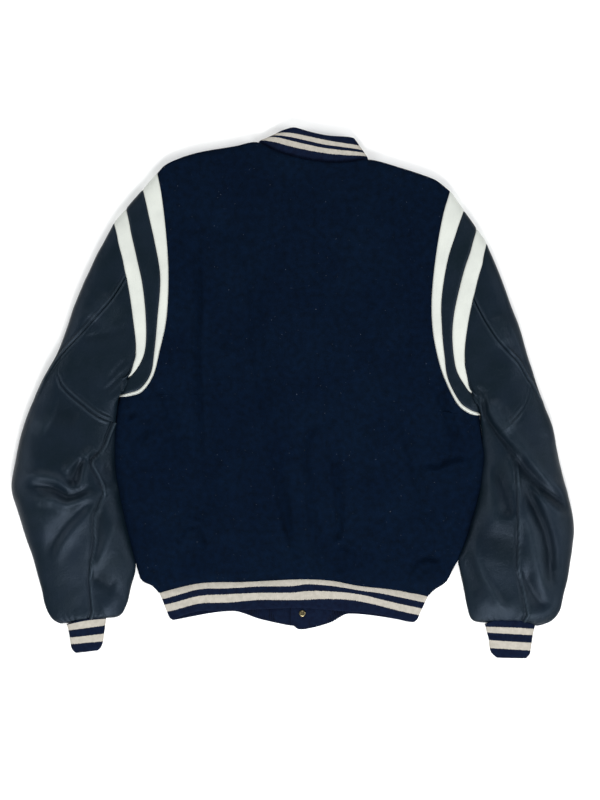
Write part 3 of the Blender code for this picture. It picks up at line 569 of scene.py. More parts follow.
def edge_run(side):
    """How far each step lies along that line, counting rise before reach, so cloth rows stay level."""
    run = [0.0]
    for step in range(EDGE_STEPS):
        gap = edge_line(side, True, step + 1) - edge_line(side, True, step)
        run.append(run[-1] + math.hypot(REACH_COUNTS * gap.x, gap.y))
    return run


EDGE_RUN = {side: edge_run(side) for side in SIDE}


def body_edge(side, upper, place):
    """A point of that line, place running evenly from 0 to 1."""
    run = EDGE_RUN[side]
    step = min(max(bisect.bisect_right(run, place * run[-1]), 1), EDGE_STEPS)
    f = (place * run[-1] - run[step - 1]) / (run[step] - run[step - 1])
    return edge_line(side, upper, step - 1 + f)


def near_closure(x, flat, fade):
    """1 within flat mm of the closure, sinking to 0 over the next fade mm."""
    return 1 - ease((abs(x - CLOSURE_X) - flat) / fade)


def closure_lift(x):
    """How far the snap caps hold the closure off the floor."""
    return CAP_LIFT * near_closure(x, 22, 30)


def back_level(x, y):
    """How high the back lies, never under what the closure below it needs."""
    lie = BODY_TOP + fold_height(BACK_FOLDS, x, y)
    return max(lie, OVER_CLOSURE * near_closure(x, 16, 14), LEAST_LEVEL)


def neck_rise(x):
    """How high the neck and shoulder seams lie, rising from their ends."""
    return BODY_EDGE + NECK_RISE * roll(min(x - NECK_LEFT, NECK_RIGHT - x), FOLD_ROUND)


def band_top(x):
    """How high the waistband lies down the back."""
    return RIB_LEVEL + RIB_OVER_LAP * near_closure(x, 30, 40)


def top_point(x):
    """A point of the shoulder seams and back neck."""
    return Vector((x, read(SHOULDER_AND_NECK, x), neck_rise(x)))


class Panel:
    """A cloth panel between four edges, with the height it comes to inside them."""

    def __init__(self, across, down, left, right, top, bottom, level, reach):
        self.left = {v: left(v) for v in down}
        self.right = {v: right(v) for v in down}
        self.top = {u: top(u) for u in across}
        self.bottom = {u: bottom(u) for u in across}
        self.level, self.reach = level, reach

    def place(self, u, v):
        """A point of the panel, as high as its level inside and as its edges along them."""
        left, right, top, bottom = self.left, self.right, self.top, self.bottom
        low, high = (bottom[0.0], bottom[1.0]), (top[0.0], top[1.0])
        share_x = (top[u].x - high[0].x) / (high[1].x - high[0].x)
        up = ((left[v].y - low[0].y) / (high[0].y - low[0].y)
              + (right[v].y - low[1].y) / (high[1].y - low[1].y)) / 2
        p = left[v].lerp(right[v], share_x)
        p += (top[u] - high[0].lerp(high[1], share_x)) * up ** EDGE_HOLD
        p += (bottom[u] - low[0].lerp(low[1], share_x)) * (1 - up) ** EDGE_HOLD
        if u in (0.0, 1.0) or v in (0.0, 1.0):
            return p
        share = 1.0
        for edge_point, far in zip((left[v], right[v], top[u], bottom[u]), self.reach):
            if far:
                share *= roll(math.hypot(p.x - edge_point.x, p.y - edge_point.y), far)
        p.z = max(p.z + (self.level(p.x, p.y) - p.z) * share, 0.0)
        return p

    def edge_gap(self, u, v, point):
        """Distance from the nearest sewn edge."""
        edges = (self.left[v], self.right[v], self.top[u], self.bottom[u])
        return min((point - edge).length for edge in edges)


TIP = {"left": -204.0, "right": 236.0}
NECK = {"left": NECK_LEFT, "right": NECK_RIGHT}
HEM = {side: SIDE[side][0] for side in SIDE}


def back_top(u):
    """The shoulder seams and back neck, from tip to tip."""
    return top_point(TIP["left"] + (TIP["right"] - TIP["left"]) * u)


def back_bottom(u):
    """The hem of the back, which blouses over the waistband."""
    x = HEM["left"][0] + (HEM["right"][0] - HEM["left"][0]) * u
    z = BODY_EDGE + (band_top(x) + HEM_CLEAR - BODY_EDGE) * ease(min(u, 1 - u) / 0.07)
    return Vector((x, read(BACK_HEM, x), z))


# Gathers where the rib draws the hem in, drawn from a fixed seed.
random.seed(11)
GATHERS = []
gather_x = HEM["left"][0] + 8
while gather_x < HEM["right"][0]:
    GATHERS.append((gather_x, random.uniform(3.0, 5.5), random.uniform(0.3, 1.1), random.uniform(14, 34)))
    gather_x += random.uniform(9.0, 21.0)


def hem_gathers(x, y):
    """Short puckers that run up from the hem."""
    up = y - read(BACK_HEM, x)
    return sum(-deep * hump(x, half, at) * (1 - ease(up / high)) * ease((up + 1) / 6)
               for at, half, deep, high in GATHERS if abs(x - at) < 3 * half)


def cloth_waves(point, size, height, seed=0.0):
    """Slow unevenness of a laid cloth."""
    return height * noise.noise(Vector((point.x / size, point.y / size, seed)))


# Wool melton: a woven cloth fulled until the weave is gone and brushed, so it is matt and dark with
# a faint paler nap, a mottle of denser and looser felt and a few pale fibres caught on it.
wool, shader = new_finish("navy_wool_melton")
shader.inputs["Roughness"].default_value = 0.95
shader.inputs["Specular IOR Level"].default_value = 0.03
shader.inputs["Sheen Weight"].default_value = 0.012
shader.inputs["Sheen Roughness"].default_value = 0.5
shader.inputs["Sheen Tint"].default_value = linear("#4E6486")
place_on = add(wool, "ShaderNodeTexCoord").outputs["Object"]
NAP = 1.4 * MM
MOTTLE = 9.0 * MM
BLOTCH = 70.0 * MM
LINT = 2.2 * MM
nap = add(wool, "ShaderNodeTexNoise", {"Vector": place_on, "Scale": 1 / NAP, "Detail": 3.0,
                                       "Roughness": 0.7})
mottle = add(wool, "ShaderNodeTexNoise", {"Vector": place_on, "Scale": 1 / MOTTLE, "Detail": 4.0})
blotch = add(wool, "ShaderNodeTexNoise", {"Vector": place_on, "Scale": 1 / BLOTCH, "Detail": 2.0})
speck = add(wool, "ShaderNodeTexNoise", {"Vector": place_on, "Scale": 1 / LINT, "Detail": 1.0})
felt = add(wool, "ShaderNodeMath", {0: nap.outputs["Fac"], 1: mottle.outputs["Fac"]}, operation="ADD")
felt_ramp = add(wool, "ShaderNodeMapRange", {"Value": felt.outputs[0], "From Min": 0.65, "From Max": 1.35})
felt_colour = add(wool, "ShaderNodeMix", {"Factor": felt_ramp.outputs[0], 6: linear("#030913"),
                                          7: linear("#051224")}, data_type="RGBA")
blotch_ramp = add(wool, "ShaderNodeMapRange", {"Value": blotch.outputs["Fac"], "From Min": 0.35,
                                               "From Max": 0.7})
blotched = add(wool, "ShaderNodeMix", {"Factor": blotch_ramp.outputs[0], 6: linear("#E4E8F0"),
                                       7: linear("#FFFFFF")}, data_type="RGBA")
toned = add(wool, "ShaderNodeMix", {"Factor": 1.0, 6: felt_colour.outputs[2], 7: blotched.outputs[2]},
            data_type="RGBA", blend_type="MULTIPLY")
lint = add(wool, "ShaderNodeMapRange", {"Value": speck.outputs["Fac"], "From Min": 0.79, "From Max": 0.82,
                                        "To Max": 0.3})
linted = add(wool, "ShaderNodeMix", {"Factor": lint.outputs[0], 6: toned.outputs[2], 7: linear("#7D8796")},
             data_type="RGBA")
nap_bump = add(wool, "ShaderNodeBump", {"Height": felt.outputs[0], "Strength": 0.55, "Distance": 0.5 * MM})
wool.node_tree.links.new(linted.outputs[2], shader.inputs["Base Color"])
wool.node_tree.links.new(nap_bump.outputs[0], shader.inputs["Normal"])

back_across = shares(440, 3.0, edge_pitch=1.0)
back_down = shares(690, 3.4, edge_pitch=1.0)
back_panel_form = Panel(back_across, back_down, lambda v: body_edge("left", True, v),
                        lambda v: body_edge("right", True, v), back_top, back_bottom, back_level,
                        [FOLD_ROUND] * 4)


CREASE_DEPTH = 1.3


def back_relief(u, v, point):
    """Creases and slow waves inside the seams, gathers at the hem."""
    gap = back_panel_form.edge_gap(u, v, point)
    inner = ease(gap / 22)
    creases = CREASE_DEPTH * crease_height(BACK_CREASES, point.x, point.y)
    return ((creases + cloth_waves(point, 46, 0.9)) * inner + cloth_waves(point, 15, 0.25, 4.0) * inner
            + hem_gathers(point.x, point.y) + seam_dip(gap))


back_panel = lay_piece("wool_back_panel", back_across, back_down, back_panel_form.place, WOOL, [wool],
                       back_relief)
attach(back_panel, "root")
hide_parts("back_panel")


# --- Fronts -------------------------------------------------------------------------------------------
# The two front panels of the same melton lie on the floor under the back and lap at the closure, the
# left one outermost and so lowest. Each wraps up at its side fold and is sewn to the back there.
FRONT_HEM = [(-201, -294), (-120, -289), (-40, -292), (14, -300), (70, -292), (130, -290), (204, -298)]
FRONT_NECK = {"left": [(-54, 380), (-45, 352), (-29, 322), (-5, 290), (30, 268)],
              "right": [(114, 354), (102, 328), (78, 298), (44, 276), (-2, 268)]}
FRONT_NECK_LENGTH = 90.0
FRONT_NECK_ROUND = 34.0
CLOSURE_EDGE = {"left": CLOSURE_X + LAP, "right": CLOSURE_X - LAP}
FRONT_CREASES = {
    # half, trough, left ridge, right ridge, line
    "left": [(9.0, 1.0, 0.5, 0.5, [(-150, 220), (-140, 60), (-150, -120)]),
             (8.0, 0.9, 0.5, 0.4, [(-70, 200), (-60, 20), (-75, -200)]),
             (7.0, 1.0, 0.4, 0.5, [(-200, -40), (-150, -90), (-90, -120)])],
    "right": [(9.0, 1.0, 0.5, 0.5, [(160, 200), (150, 60), (165, -140)]),
              (8.0, 0.9, 0.4, 0.5, [(90, 190), (80, 0), (95, -210)]),
              (7.0, 1.0, 0.5, 0.4, [(230, -60), (180, -110), (120, -140)])],
}


def front_floor(side, x):
    """Height of a front's outer face: the left one on the floor, the right one on top of it."""
    low = closure_lift(x)
    if side == "left":
        return low
    return low + (RIB + LAYER_GAP) * (1 - ease((x - CLOSURE_X - LAP - 14) / 50))


SHOULDER_SHARE = 0.62


def front_top(side, u):
    """The shoulder seam, then the front neck seam down to the closure."""
    if u < SHOULDER_SHARE:
        return top_point(TIP[side] + (NECK[side] - TIP[side]) * u / SHOULDER_SHARE)
    f = (u - SHOULDER_SHARE) / (1 - SHOULDER_SHARE)
    x, y = along(FRONT_NECK[side], f)
    z = BODY_EDGE + (front_floor(side, x) - BODY_EDGE) * roll(f * FRONT_NECK_LENGTH, FRONT_NECK_ROUND)
    return Vector((x, y, z))


def front_bottom(side, u):
    """The hem of a front, from its side fold to the closure."""
    start = front_top(side, 0.0).x
    share = (front_top(side, u).x - start) / (front_top(side, 1.0).x - start)
    x = HEM[side][0] + (CLOSURE_EDGE[side] - HEM[side][0]) * share
    z = BODY_EDGE + (front_floor(side, x) - BODY_EDGE) * roll(abs(x - HEM[side][0]), FOLD_ROUND)
    return Vector((x, read(FRONT_HEM, x), z))


for side, way in (("left", -1), ("right", 1)):
    across = shares(360, 6.0, edge_pitch=1.5)
    down = shares(690, 7.0, edge_pitch=1.5)
    outer = {v: body_edge(side, False, v) for v in down}
    foot, head = front_bottom(side, 1.0), front_top(side, 1.0)

    def closure(v):
        return foot.lerp(head, (outer[v].y - outer[0.0].y) / (outer[1.0].y - outer[0.0].y))

    form = Panel(across, down, outer.get, closure, lambda u: front_top(side, u),
                 lambda u: front_bottom(side, u), lambda x, y: front_floor(side, x),
                 (FOLD_ROUND, None, FOLD_ROUND, None))

    def front_relief(u, v, point):
        gap = form.edge_gap(u, v, point)
        return seam_dip(gap, depth=0.4) + crease_height(FRONT_CREASES[side], point.x, point.y)

    panel = lay_piece(f"wool_front_{side}", across, down, form.place, WOOL, [wool], front_relief, way=way)
    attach(panel, "root")
    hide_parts(f"front_panel_{side}")


# --- Collar -------------------------------------------------------------------------------------------
# A doubled band of striped 1x1 rib knit, stretched round the neck seam and folded at its top edge. It
# stands up a little from the back neck and lies flat in front.
COLLAR_TOP = {"back": [(-12, 398.5), (2, 401), (26, 394.5), (52, 389), (75, 387.5), (91, 386.5)],
              "left": [(-12, 398.5), (-6, 372), (2, 345), (14, 324), (30, 314)],
              "right": [(91, 386.5), (82, 362), (66, 338), (40, 320), (-2, 314)]}
COLLAR_LENGTH = {"left": 145.0, "back": 172.0, "right": 150.0}
COLLAR_HEIGHT = 40.0
COLLAR_STAND = 4.5
COLLAR_TUCK = Vector((0, -2.5, -1.8))
# Wales run about 3 mm apart, coarser than real ones, so that the mesh can carry them.
COLLAR_WALES = 150
WALE = 0.32
# Edges of the collar's ivory stripes along the back neck, each as the y it lies at.
COLLAR_STRIPES = [
    # x, low_start, low_end, high_start, high_end
    (-54, 380.5, 382.5, 383.5, 385.0),
    (-30, 378.1, 386.0, 388.0, 391.2),
    (-5, 371.9, 380.6, 386.0, 392.2),
    (20, 366.2, 375.0, 380.6, 387.8),
    (45, 361.8, 369.5, 375.0, 382.5),
    (70, 358.8, 366.3, 371.3, 377.7),
    (95, 357.2, 363.6, 367.5, 373.8),
    (112, 356.0, 360.5, 364.0, 370.5),
]


def stripe_shares(seam, end, stripes):
    """Where each stripe edge crosses the line from a rib's seam to its end, as shares of that line."""
    shares_of = []
    for column in range(1, 5):
        share = 0.5
        for _ in range(6):
            y = read(stripes, seam.x + (end.x - seam.x) * share, column)
            share = min(max((y - seam.y) / (end.y - seam.y), 0.0), 1.0)
        shares_of.append(share)
    return shares_of


def stripe_place(height, edges):
    """A height across a striped rib, as stripe numbers: ivory lies between 1 and 2 and between 3 and 4."""
    rows = [0.0, *edges, 1.0]
    if height <= 0:
        return height / max(edges[0], 0.01)
    k = min(max(bisect.bisect_right(rows, height), 1), 5)
    return k - 1 + (height - rows[k - 1]) / (rows[k] - rows[k - 1])


def wale_height(phase):
    """Rounded wale of a rib knit, 0 in its furrow."""
    return WALE * abs(math.sin(math.pi * phase)) ** 0.8


def rib_knit(name, stripe_uv):
    """Wool-acrylic rib knit: rounded columns of V stitches, matt, ivory stripes knitted into navy."""
    finish, shader = new_finish(name)
    shader.inputs["Roughness"].default_value = 0.85
    shader.inputs["Specular IOR Level"].default_value = 0.04
    shader.inputs["Sheen Weight"].default_value = 0.008
    shader.inputs["Sheen Roughness"].default_value = 0.5
    place_on = add(finish, "ShaderNodeTexCoord").outputs["Object"]
    yarn = 1.1 * MM
    patch = 6 * MM
    fuzz = add(finish, "ShaderNodeTexNoise", {"Vector": place_on, "Scale": 1 / yarn, "Detail": 2.0})
    tone = add(finish, "ShaderNodeTexNoise", {"Vector": place_on, "Scale": 1 / patch, "Detail": 2.0})
    shade = add(finish, "ShaderNodeMapRange", {"Value": tone.outputs["Fac"], "From Min": 0.3,
                                               "From Max": 0.7})
    navy = add(finish, "ShaderNodeMix", {"Factor": shade.outputs[0], 6: linear("#060C1D"),
                                         7: linear("#091326")}, data_type="RGBA")
    colour = navy.outputs[2]
    if stripe_uv:
        knit = add(finish, "ShaderNodeUVMap", uv_map="cloth").outputs[0]
        parts = add(finish, "ShaderNodeSeparateXYZ", {0: knit})
        wobble = add(finish, "ShaderNodeMath", {0: fuzz.outputs["Fac"], 1: 0.5}, operation="SUBTRACT")
        wave = add(finish, "ShaderNodeMath", {0: wobble.outputs[0], 1: 0.22}, operation="MULTIPLY")
        row = add(finish, "ShaderNodeMath", {0: parts.outputs[1], 1: wave.outputs[0]}, operation="ADD")
        half = add(finish, "ShaderNodeMath", {0: row.outputs[0], 1: 2.0}, operation="MODULO")
        above = add(finish, "ShaderNodeMath", {0: half.outputs[0], 1: 1.0}, operation="GREATER_THAN")
        below = add(finish, "ShaderNodeMath", {0: row.outputs[0], 1: 4.0}, operation="LESS_THAN")
        inside = add(finish, "ShaderNodeMath", {0: above.outputs[0], 1: below.outputs[0]},
                     operation="MULTIPLY")
        ivory = add(finish, "ShaderNodeMix", {"Factor": shade.outputs[0], 6: linear("#938F86"),
                                              7: linear("#A19C93")}, data_type="RGBA")
        striped = add(finish, "ShaderNodeMix", {"Factor": inside.outputs[0], 6: colour,
                                                7: ivory.outputs[2]}, data_type="RGBA")
        colour = striped.outputs[2]
    bump = add(finish, "ShaderNodeBump", {"Height": fuzz.outputs["Fac"], "Strength": 0.5,
                                          "Distance": 0.4 * MM})
    finish.node_tree.links.new(colour, shader.inputs["Base Color"])
    finish.node_tree.links.new(bump.outputs[0], shader.inputs["Normal"])
    return finish


striped_rib = rib_knit("striped_rib_knit", True)
plain_rib = rib_knit("navy_rib_knit", False)


def collar_side(u):
    """Which stretch of the collar a place along it falls in, and how far along that stretch."""
    run = u * sum(COLLAR_LENGTH.values())
    if run < COLLAR_LENGTH["left"]:
        return "left", 1 - run / COLLAR_LENGTH["left"]
    run -= COLLAR_LENGTH["left"]
    if run <= COLLAR_LENGTH["back"]:
        return "back", run / COLLAR_LENGTH["back"]
    return "right", (run - COLLAR_LENGTH["back"]) / COLLAR_LENGTH["right"]


# Places just inside the ends of the back's stretch. The fronts' stripes go on from there.
COLLAR_CORNER = {
    "left": (COLLAR_LENGTH["left"] + 1) / sum(COLLAR_LENGTH.values()),
    "right": (COLLAR_LENGTH["left"] + COLLAR_LENGTH["back"] - 1) / sum(COLLAR_LENGTH.values()),
}


def collar_place(u, v):
    """A point of the collar, v running from its seam to its folded top edge."""
    side, f = collar_side(u)
    if side == "back":
        seam = top_point(NECK_LEFT + (NECK_RIGHT - NECK_LEFT) * f)
        inset = min(f, 1 - f) * (COLLAR_TOP["back"][-1][0] - COLLAR_TOP["back"][0][0])
        lift = COLLAR_STAND * roll(inset, 30)
    else:
        seam = front_top(side, SHOULDER_SHARE + (1 - SHOULDER_SHARE) * f)
        lift = 0.0
    x, y = along(COLLAR_TOP[side], f)
    return seam.lerp(Vector((x, y, seam.z + lift)), v) + COLLAR_TUCK * (1 - ease(v * 7))


def collar_relief(u, v, point):
    """Wales, the rounded fold at the top and the dip at the seam."""
    rib = wale_height(u * COLLAR_WALES)
    fold = -1.2 * (1 - roll((1 - v) * COLLAR_HEIGHT, 5))
    return rib + fold + seam_dip(v * COLLAR_HEIGHT, depth=0.6, width=2.4) + cloth_waves(point, 24, 0.5, 2.0)


def collar_stripes(u, v, point):
    """Wales along the band and stripe edges across it, for the knit's UV map."""
    side, _ = collar_side(u)
    near = u if side == "back" else COLLAR_CORNER[side]
    edges = stripe_shares(collar_place(near, 0.0), collar_place(near, 1.0), COLLAR_STRIPES)
    return u * COLLAR_WALES, stripe_place(v, edges)


collar_across = [k / (COLLAR_WALES * 4) for k in range(COLLAR_WALES * 4 + 1)]
collar = lay_piece("rib_collar", collar_across, shares(COLLAR_HEIGHT, 3.0), collar_place, RIB,
                   [striped_rib, plain_rib], collar_relief, collar_stripes)
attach(collar, "root")
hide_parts("collar_rib")


# --- Waistband ----------------------------------------------------------------------------------------
# A doubled band of the same striped rib round the hem, its folded edge down. Its ends lap with the
# fronts and are faced inside with plain navy rib, and the wool rolls over its seam.
BAND_BACK_END = [
    (-186, -339.5), (-161, -329.5), (-139, -324.5), (-96, -324), (10, -320), (78, -325), (123, -328),
    (146, -333.5), (170, -340), (187, -342),
]
BAND_FRONT_END = [
    (-186, -339.5), (-92, -325), (-48, -337.5), (-8, -346), (1, -347), (7, -351.5), (20, -351.5),
    (56, -342), (84, -329), (187, -342),
]
BAND_WALES = 285
BAND_LAP_SHARE = {"left": 0.57, "right": 0.513}
BAND_HEIGHT = 45.0
BAND_SIDE_HEIGHT = 6.2
BAND_CORNER = 7.0
BAND_SEAM_X = -128.0
BAND_FRONT_STRIPES = [0.09, 0.33, 0.48, 0.72]
# Edges of the band's ivory stripes down the back, each as the y it lies at.
BAND_STRIPES = [
    # x, high_start, high_end, low_start, low_end
    (-202, -297.5, -308.5, -316.5, -327.5),
    (-180, -290.3, -302.3, -312.0, -323.3),
    (-140, -280.2, -291.8, -301.5, -313.0),
    (-100, -279.5, -290.5, -299.0, -311.7),
    (-50, -277.8, -287.4, -297.0, -307.5),
    (0, -276.0, -286.8, -296.5, -307.5),
    (20, -273.0, -284.0, -294.3, -307.0),
    (60, -277.0, -287.0, -294.8, -305.7),
    (100, -286.5, -293.5, -299.0, -309.5),
    (130, -289.2, -297.5, -306.5, -316.2),
    (160, -294.0, -303.5, -313.5, -324.0),
    (204, -302.5, -313.0, -323.0, -334.0),
]
BAND_TOTAL = 1 + sum(BAND_LAP_SHARE.values())


def band_side(u):
    """Which stretch of the waistband a place along it falls in, and its share across the body."""
    run = u * BAND_TOTAL
    lap = BAND_LAP_SHARE["left"]
    if run < lap:
        return "left", lap - run
    if run <= 1 + lap:
        return "back", run - lap
    return "right", 2 + lap - run


def band_place(u, v):
    """A point of the waistband, v running from its seam to its folded lower edge."""
    side, f = band_side(u)
    seam_left, seam_right = HEM["left"][0], HEM["right"][0]
    x = seam_left + (seam_right - seam_left) * f
    end_x = BAND_BACK_END[0][0] + (BAND_BACK_END[-1][0] - BAND_BACK_END[0][0]) * f
    inset = min(f, 1 - f) * (seam_right - seam_left)
    if side == "back":
        y = read(BACK_HEM, x) + 8.0 * ease((inset - 20) / 30) - 0.5
        end_y = read(BAND_BACK_END, end_x)
        level = band_top(x)
    else:
        y = read(FRONT_HEM, x) - 0.5
        end_y = read(BAND_FRONT_END, end_x)
        level = front_floor(side, x)
    end_y += BAND_CORNER * (1 - roll(inset, 8))
    z = BAND_SIDE_HEIGHT + (level - BAND_SIDE_HEIGHT) * roll(inset, 18)
    return Vector((x + (end_x - x) * v, y + (end_y - y) * v, z))


def band_relief(u, v, point):
    """Wales, the rounded fold and the band's own side seam."""
    rib = wale_height(u * BAND_WALES)
    fold = -1.3 * (1 - roll((1 - v) * BAND_HEIGHT, 4))
    seam = seam_dip(point.x - BAND_SEAM_X, depth=0.7, width=1.2)
    return rib + fold + cloth_waves(point, 26, 0.5, 6.0) + seam


def band_stripes(u, v, point):
    """Wales along the band and stripe edges across it, for the knit's UV map."""
    side, _ = band_side(u)
    edges = BAND_FRONT_STRIPES
    if side == "back":
        edges = stripe_shares(band_place(u, 0.0), band_place(u, 1.0), BAND_STRIPES)
    return u * BAND_WALES, stripe_place(v, edges)


band_across = [k / (BAND_WALES * 4) for k in range(BAND_WALES * 4 + 1)]
waistband = lay_piece("rib_waistband", band_across, shares(BAND_HEIGHT, 3.4), band_place, RIB,
                      [striped_rib, plain_rib], band_relief, band_stripes, way=-1)
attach(waistband, "root")
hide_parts("waistband_rib")


# --- Armhole strips -----------------------------------------------------------------------------------
# Three strips of cowhide ring each armhole: ivory, navy, ivory. Each is sewn edge to edge to the next,
# its edges turned under, so a shallow ditch runs between them and they taper to the underarm.
LEATHER = 2.0
STRIP_WIDTH = 22.0
STRIPS = [
    # name, node, first section, colour, flat size, flat area
    ("inner_ivory_strip", "armhole_stripe_inner", -3, "ivory", (0.6, 0.045), 0.0106),
    ("navy_strip", "armhole_band", -2, "navy", (0.62, 0.045), 0.0155),
    ("outer_ivory_strip", "armhole_stripe_outer", -1, "ivory", (0.6, 0.035), 0.0104),
]


def cowhide(name, dark, light, paler_and_highlight, dirt_and_shade, crease_strength):
    """Chrome-tanned cowhide, pigmented and pressed: a pebble grain, softly shining, with fine creases
    where it has flexed and slow changes of tone. Seams are paler on their ridges and hold dirt in
    their ditches; the folds on top carry painted shade in their troughs and a painted highlight on
    their ridges. All come from the marks that the piece's own UV map carries."""
    finish, shader = new_finish(name)
    shader.inputs["Specular IOR Level"].default_value = 0.16
    shader.inputs["Specular Tint"].default_value = linear("#C9DEFA")
    place_on = add(finish, "ShaderNodeTexCoord").outputs["Object"]
    grain_size = 1.3 * MM
    crease_size = 5 * MM
    tone_size = 38 * MM
    pebbles = add(finish, "ShaderNodeTexVoronoi", {"Vector": place_on, "Scale": 1 / grain_size},
                  feature="DISTANCE_TO_EDGE")
    pebble = add(finish, "ShaderNodeMapRange", {"Value": pebbles.outputs["Distance"], "From Max": 0.35})
    flex = add(finish, "ShaderNodeTexNoise", {"Vector": place_on, "Scale": 1 / crease_size, "Detail": 4.0,
                                              "Distortion": 1.2})
    tone = add(finish, "ShaderNodeTexNoise", {"Vector": place_on, "Scale": 1 / tone_size, "Detail": 3.0})
    shade = add(finish, "ShaderNodeMapRange", {"Value": tone.outputs["Fac"], "From Min": 0.3,
                                               "From Max": 0.7})
    colour = add(finish, "ShaderNodeMix", {"Factor": shade.outputs[0], 6: linear(dark), 7: linear(light)},
                 data_type="RGBA")
    shine = add(finish, "ShaderNodeMapRange", {"Value": flex.outputs["Fac"], "From Min": 0.3,
                                               "From Max": 0.7, "To Min": 0.37, "To Max": 0.45})
    grain = add(finish, "ShaderNodeBump", {"Height": pebble.outputs[0], "Strength": 0.35,
                                           "Distance": 0.25 * MM})
    creased = add(finish, "ShaderNodeBump", {"Height": flex.outputs["Fac"], "Strength": crease_strength,
                                             "Distance": 1.2 * MM, "Normal": grain.outputs[0]})
    # The UV map's first mark makes the leather paler: along seam ridges, and as a painted highlight on fold
    # ridges. Its second makes it darker: dirt in seam ditches, and painted shade in fold troughs.
    marks = add(finish, "ShaderNodeUVMap", uv_map="cloth").outputs[0]
    seams = add(finish, "ShaderNodeSeparateXYZ", {0: marks})
    ridges = add(finish, "ShaderNodeMath", {0: seams.outputs[0], 1: flex.outputs["Fac"]},
                 operation="MULTIPLY")
    paler = add(finish, "ShaderNodeMix", {"Factor": ridges.outputs[0], 6: colour.outputs[2],
                                          7: linear(paler_and_highlight)}, data_type="RGBA")
    marked = add(finish, "ShaderNodeMix", {"Factor": seams.outputs[1], 6: paler.outputs[2],
                                           7: linear(dirt_and_shade)}, data_type="RGBA")
    finish.node_tree.links.new(marked.outputs[2], shader.inputs["Base Color"])
    finish.node_tree.links.new(shine.outputs[0], shader.inputs["Roughness"])
    finish.node_tree.links.new(creased.outputs[0], shader.inputs["Normal"])
    return finish


hides = {
    # name, darker and lighter tone, paler seam wear and painted highlight, seam dirt and painted shade,
    # strength of its creases
    "navy": cowhide("navy_cowhide", "#061016", "#0C151E", "#36414A", "#02050A", 0.3),
    "ivory": cowhide("ivory_cowhide", "#B3B6B0", "#BCBFB8", "#C8CAC3", "#93948D", 0.2),
}


def ring_place(turn):
    """Place round a flattened tube, closer together at its two folds: turn runs 0 to 2."""
    turn %= 2.0
    q = 0.5 - 0.5 * math.cos(math.pi * turn)
    return q if turn <= 1.0 else -q


def strip_marks(distance):
    """Seam marks of a strip at a distance from its edge: none paler, and dirt in the ditch at its edge."""
    return 0.0, 0.6 * hump(distance, 1.1)


strip_across = [k / 220 for k in range(221)]
strip_down = shares(STRIP_WIDTH, 2.4, edge_pitch=0.6)
for side, way in (("left", -1), ("right", 1)):
    for name, node, start, colour, flat, area in STRIPS:

        def strip_place(u, v):
            """A point of the strip, u running once round the armhole."""
            return sleeve_point(side, ring_place(1.0 + 2 * u), start + v)

        def strip_gap(u, v):
            """How far a point of the strip is from its nearer edge."""
            return min(v, 1 - v) * (strip_place(u, 1.0) - strip_place(u, 0.0)).length

        def strip_relief(u, v, point):
            gap = strip_gap(u, v)
            dip = seam_dip(gap, depth=0.8, width=1.3)
            inner = ease(gap / 5)
            return dip + 0.5 * inner + cloth_waves(point, 14, 0.35, 9.0) * inner

        strip = lay_piece(f"{name}_{side}", strip_across, strip_down, strip_place, LEATHER, [hides[colour]],
                          strip_relief, lambda u, v, point: strip_marks(strip_gap(u, v)), way, ring=True)
        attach(strip, "root")
        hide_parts(f"{node}_{side}")


# --- Sleeves ------------------------------------------------------------------------------------------
# Each sleeve is pieced from navy cowhide: a head over the outer fold, an elbow piece beside the
# armhole and one lower piece closed along the under seam. The seams are pressed open and topstitched.
HEAD_SEAM = {
    "left": [
        # section, place round the sleeve
        (0.0, 0.31), (0.9, 0.3), (1.7, 0.258), (2.3, 0.195), (3.1, 0.075), (3.6, 0.05), (4.2, 0.04),
    ],
    "right": [
        (0.0, 0.31), (0.95, 0.308), (1.45, 0.3), (2.1, 0.255), (2.75, 0.175), (3.3, 0.125), (3.6, 0.09),
        (4.3, 0.04),
    ],
}
ELBOW_JOIN = {"left": 3.1, "right": 3.6}
ELBOW_SEAM = {
    "left": [
        # place round the sleeve, section
        (0.075, 3.1), (0.11, 3.45), (0.175, 3.6), (0.235, 3.7), (0.395, 3.8), (0.535, 3.85), (0.685, 3.9),
        (0.835, 3.85), (0.97, 3.65), (1.0, 3.6),
    ],
    "right": [
        (0.09, 3.6), (0.16, 3.8), (0.235, 3.95), (0.385, 4.1), (0.565, 4.2), (0.695, 4.2), (0.855, 4.2),
        (1.0, 4.2),
    ],
}
UNDER_SEAM = {
    "left": [
        # section, place round the sleeve
        (3.6, 0.97), (4.4, 0.93), (4.9, 0.9), (5.3, 0.85), (5.6, 0.765), (5.8, 0.77), (6.15, 0.825),
        (6.5, 0.86), (6.8, 0.855), (7.2, 0.8), (7.75, 0.725), (8.35, 0.685), (8.95, 0.66), (9.55, 0.6),
        (10.1, 0.55), (10.65, 0.535), (11.45, 0.55), (12.55, 0.575), (14.0, 0.6),
    ],
    "right": [
        (4.2, 0.62), (5.0, 0.585), (5.6, 0.57), (6.15, 0.565), (6.7, 0.555), (7.9, 0.55), (9.35, 0.49),
        (10.05, 0.47), (10.5, 0.44), (11.15, 0.405), (12.4, 0.34), (14.0, 0.3),
    ],
}
# Where round the sleeve the elbow's lower seam stands out, from and to, how much, and how much the tail
# of the head seam does. Beyond that the leather lies flat over them.
SEAM_SHOWS = {"left": (0.1, 0.84, 1.0, 1.0), "right": (0.27, 0.5, 0.5, 0.05)}
SEAM_FADE = 0.12
SEAM_LEAST = 0.05
# The share of the under seam's length, from the top, that is turned under a fold.
UNDER_HIDDEN = {"left": -1.0, "right": 0.17}
# How far the leather's end arches up over the cuff.
CUFF_ARCH = {"left": 2.0, "right": 9.0}


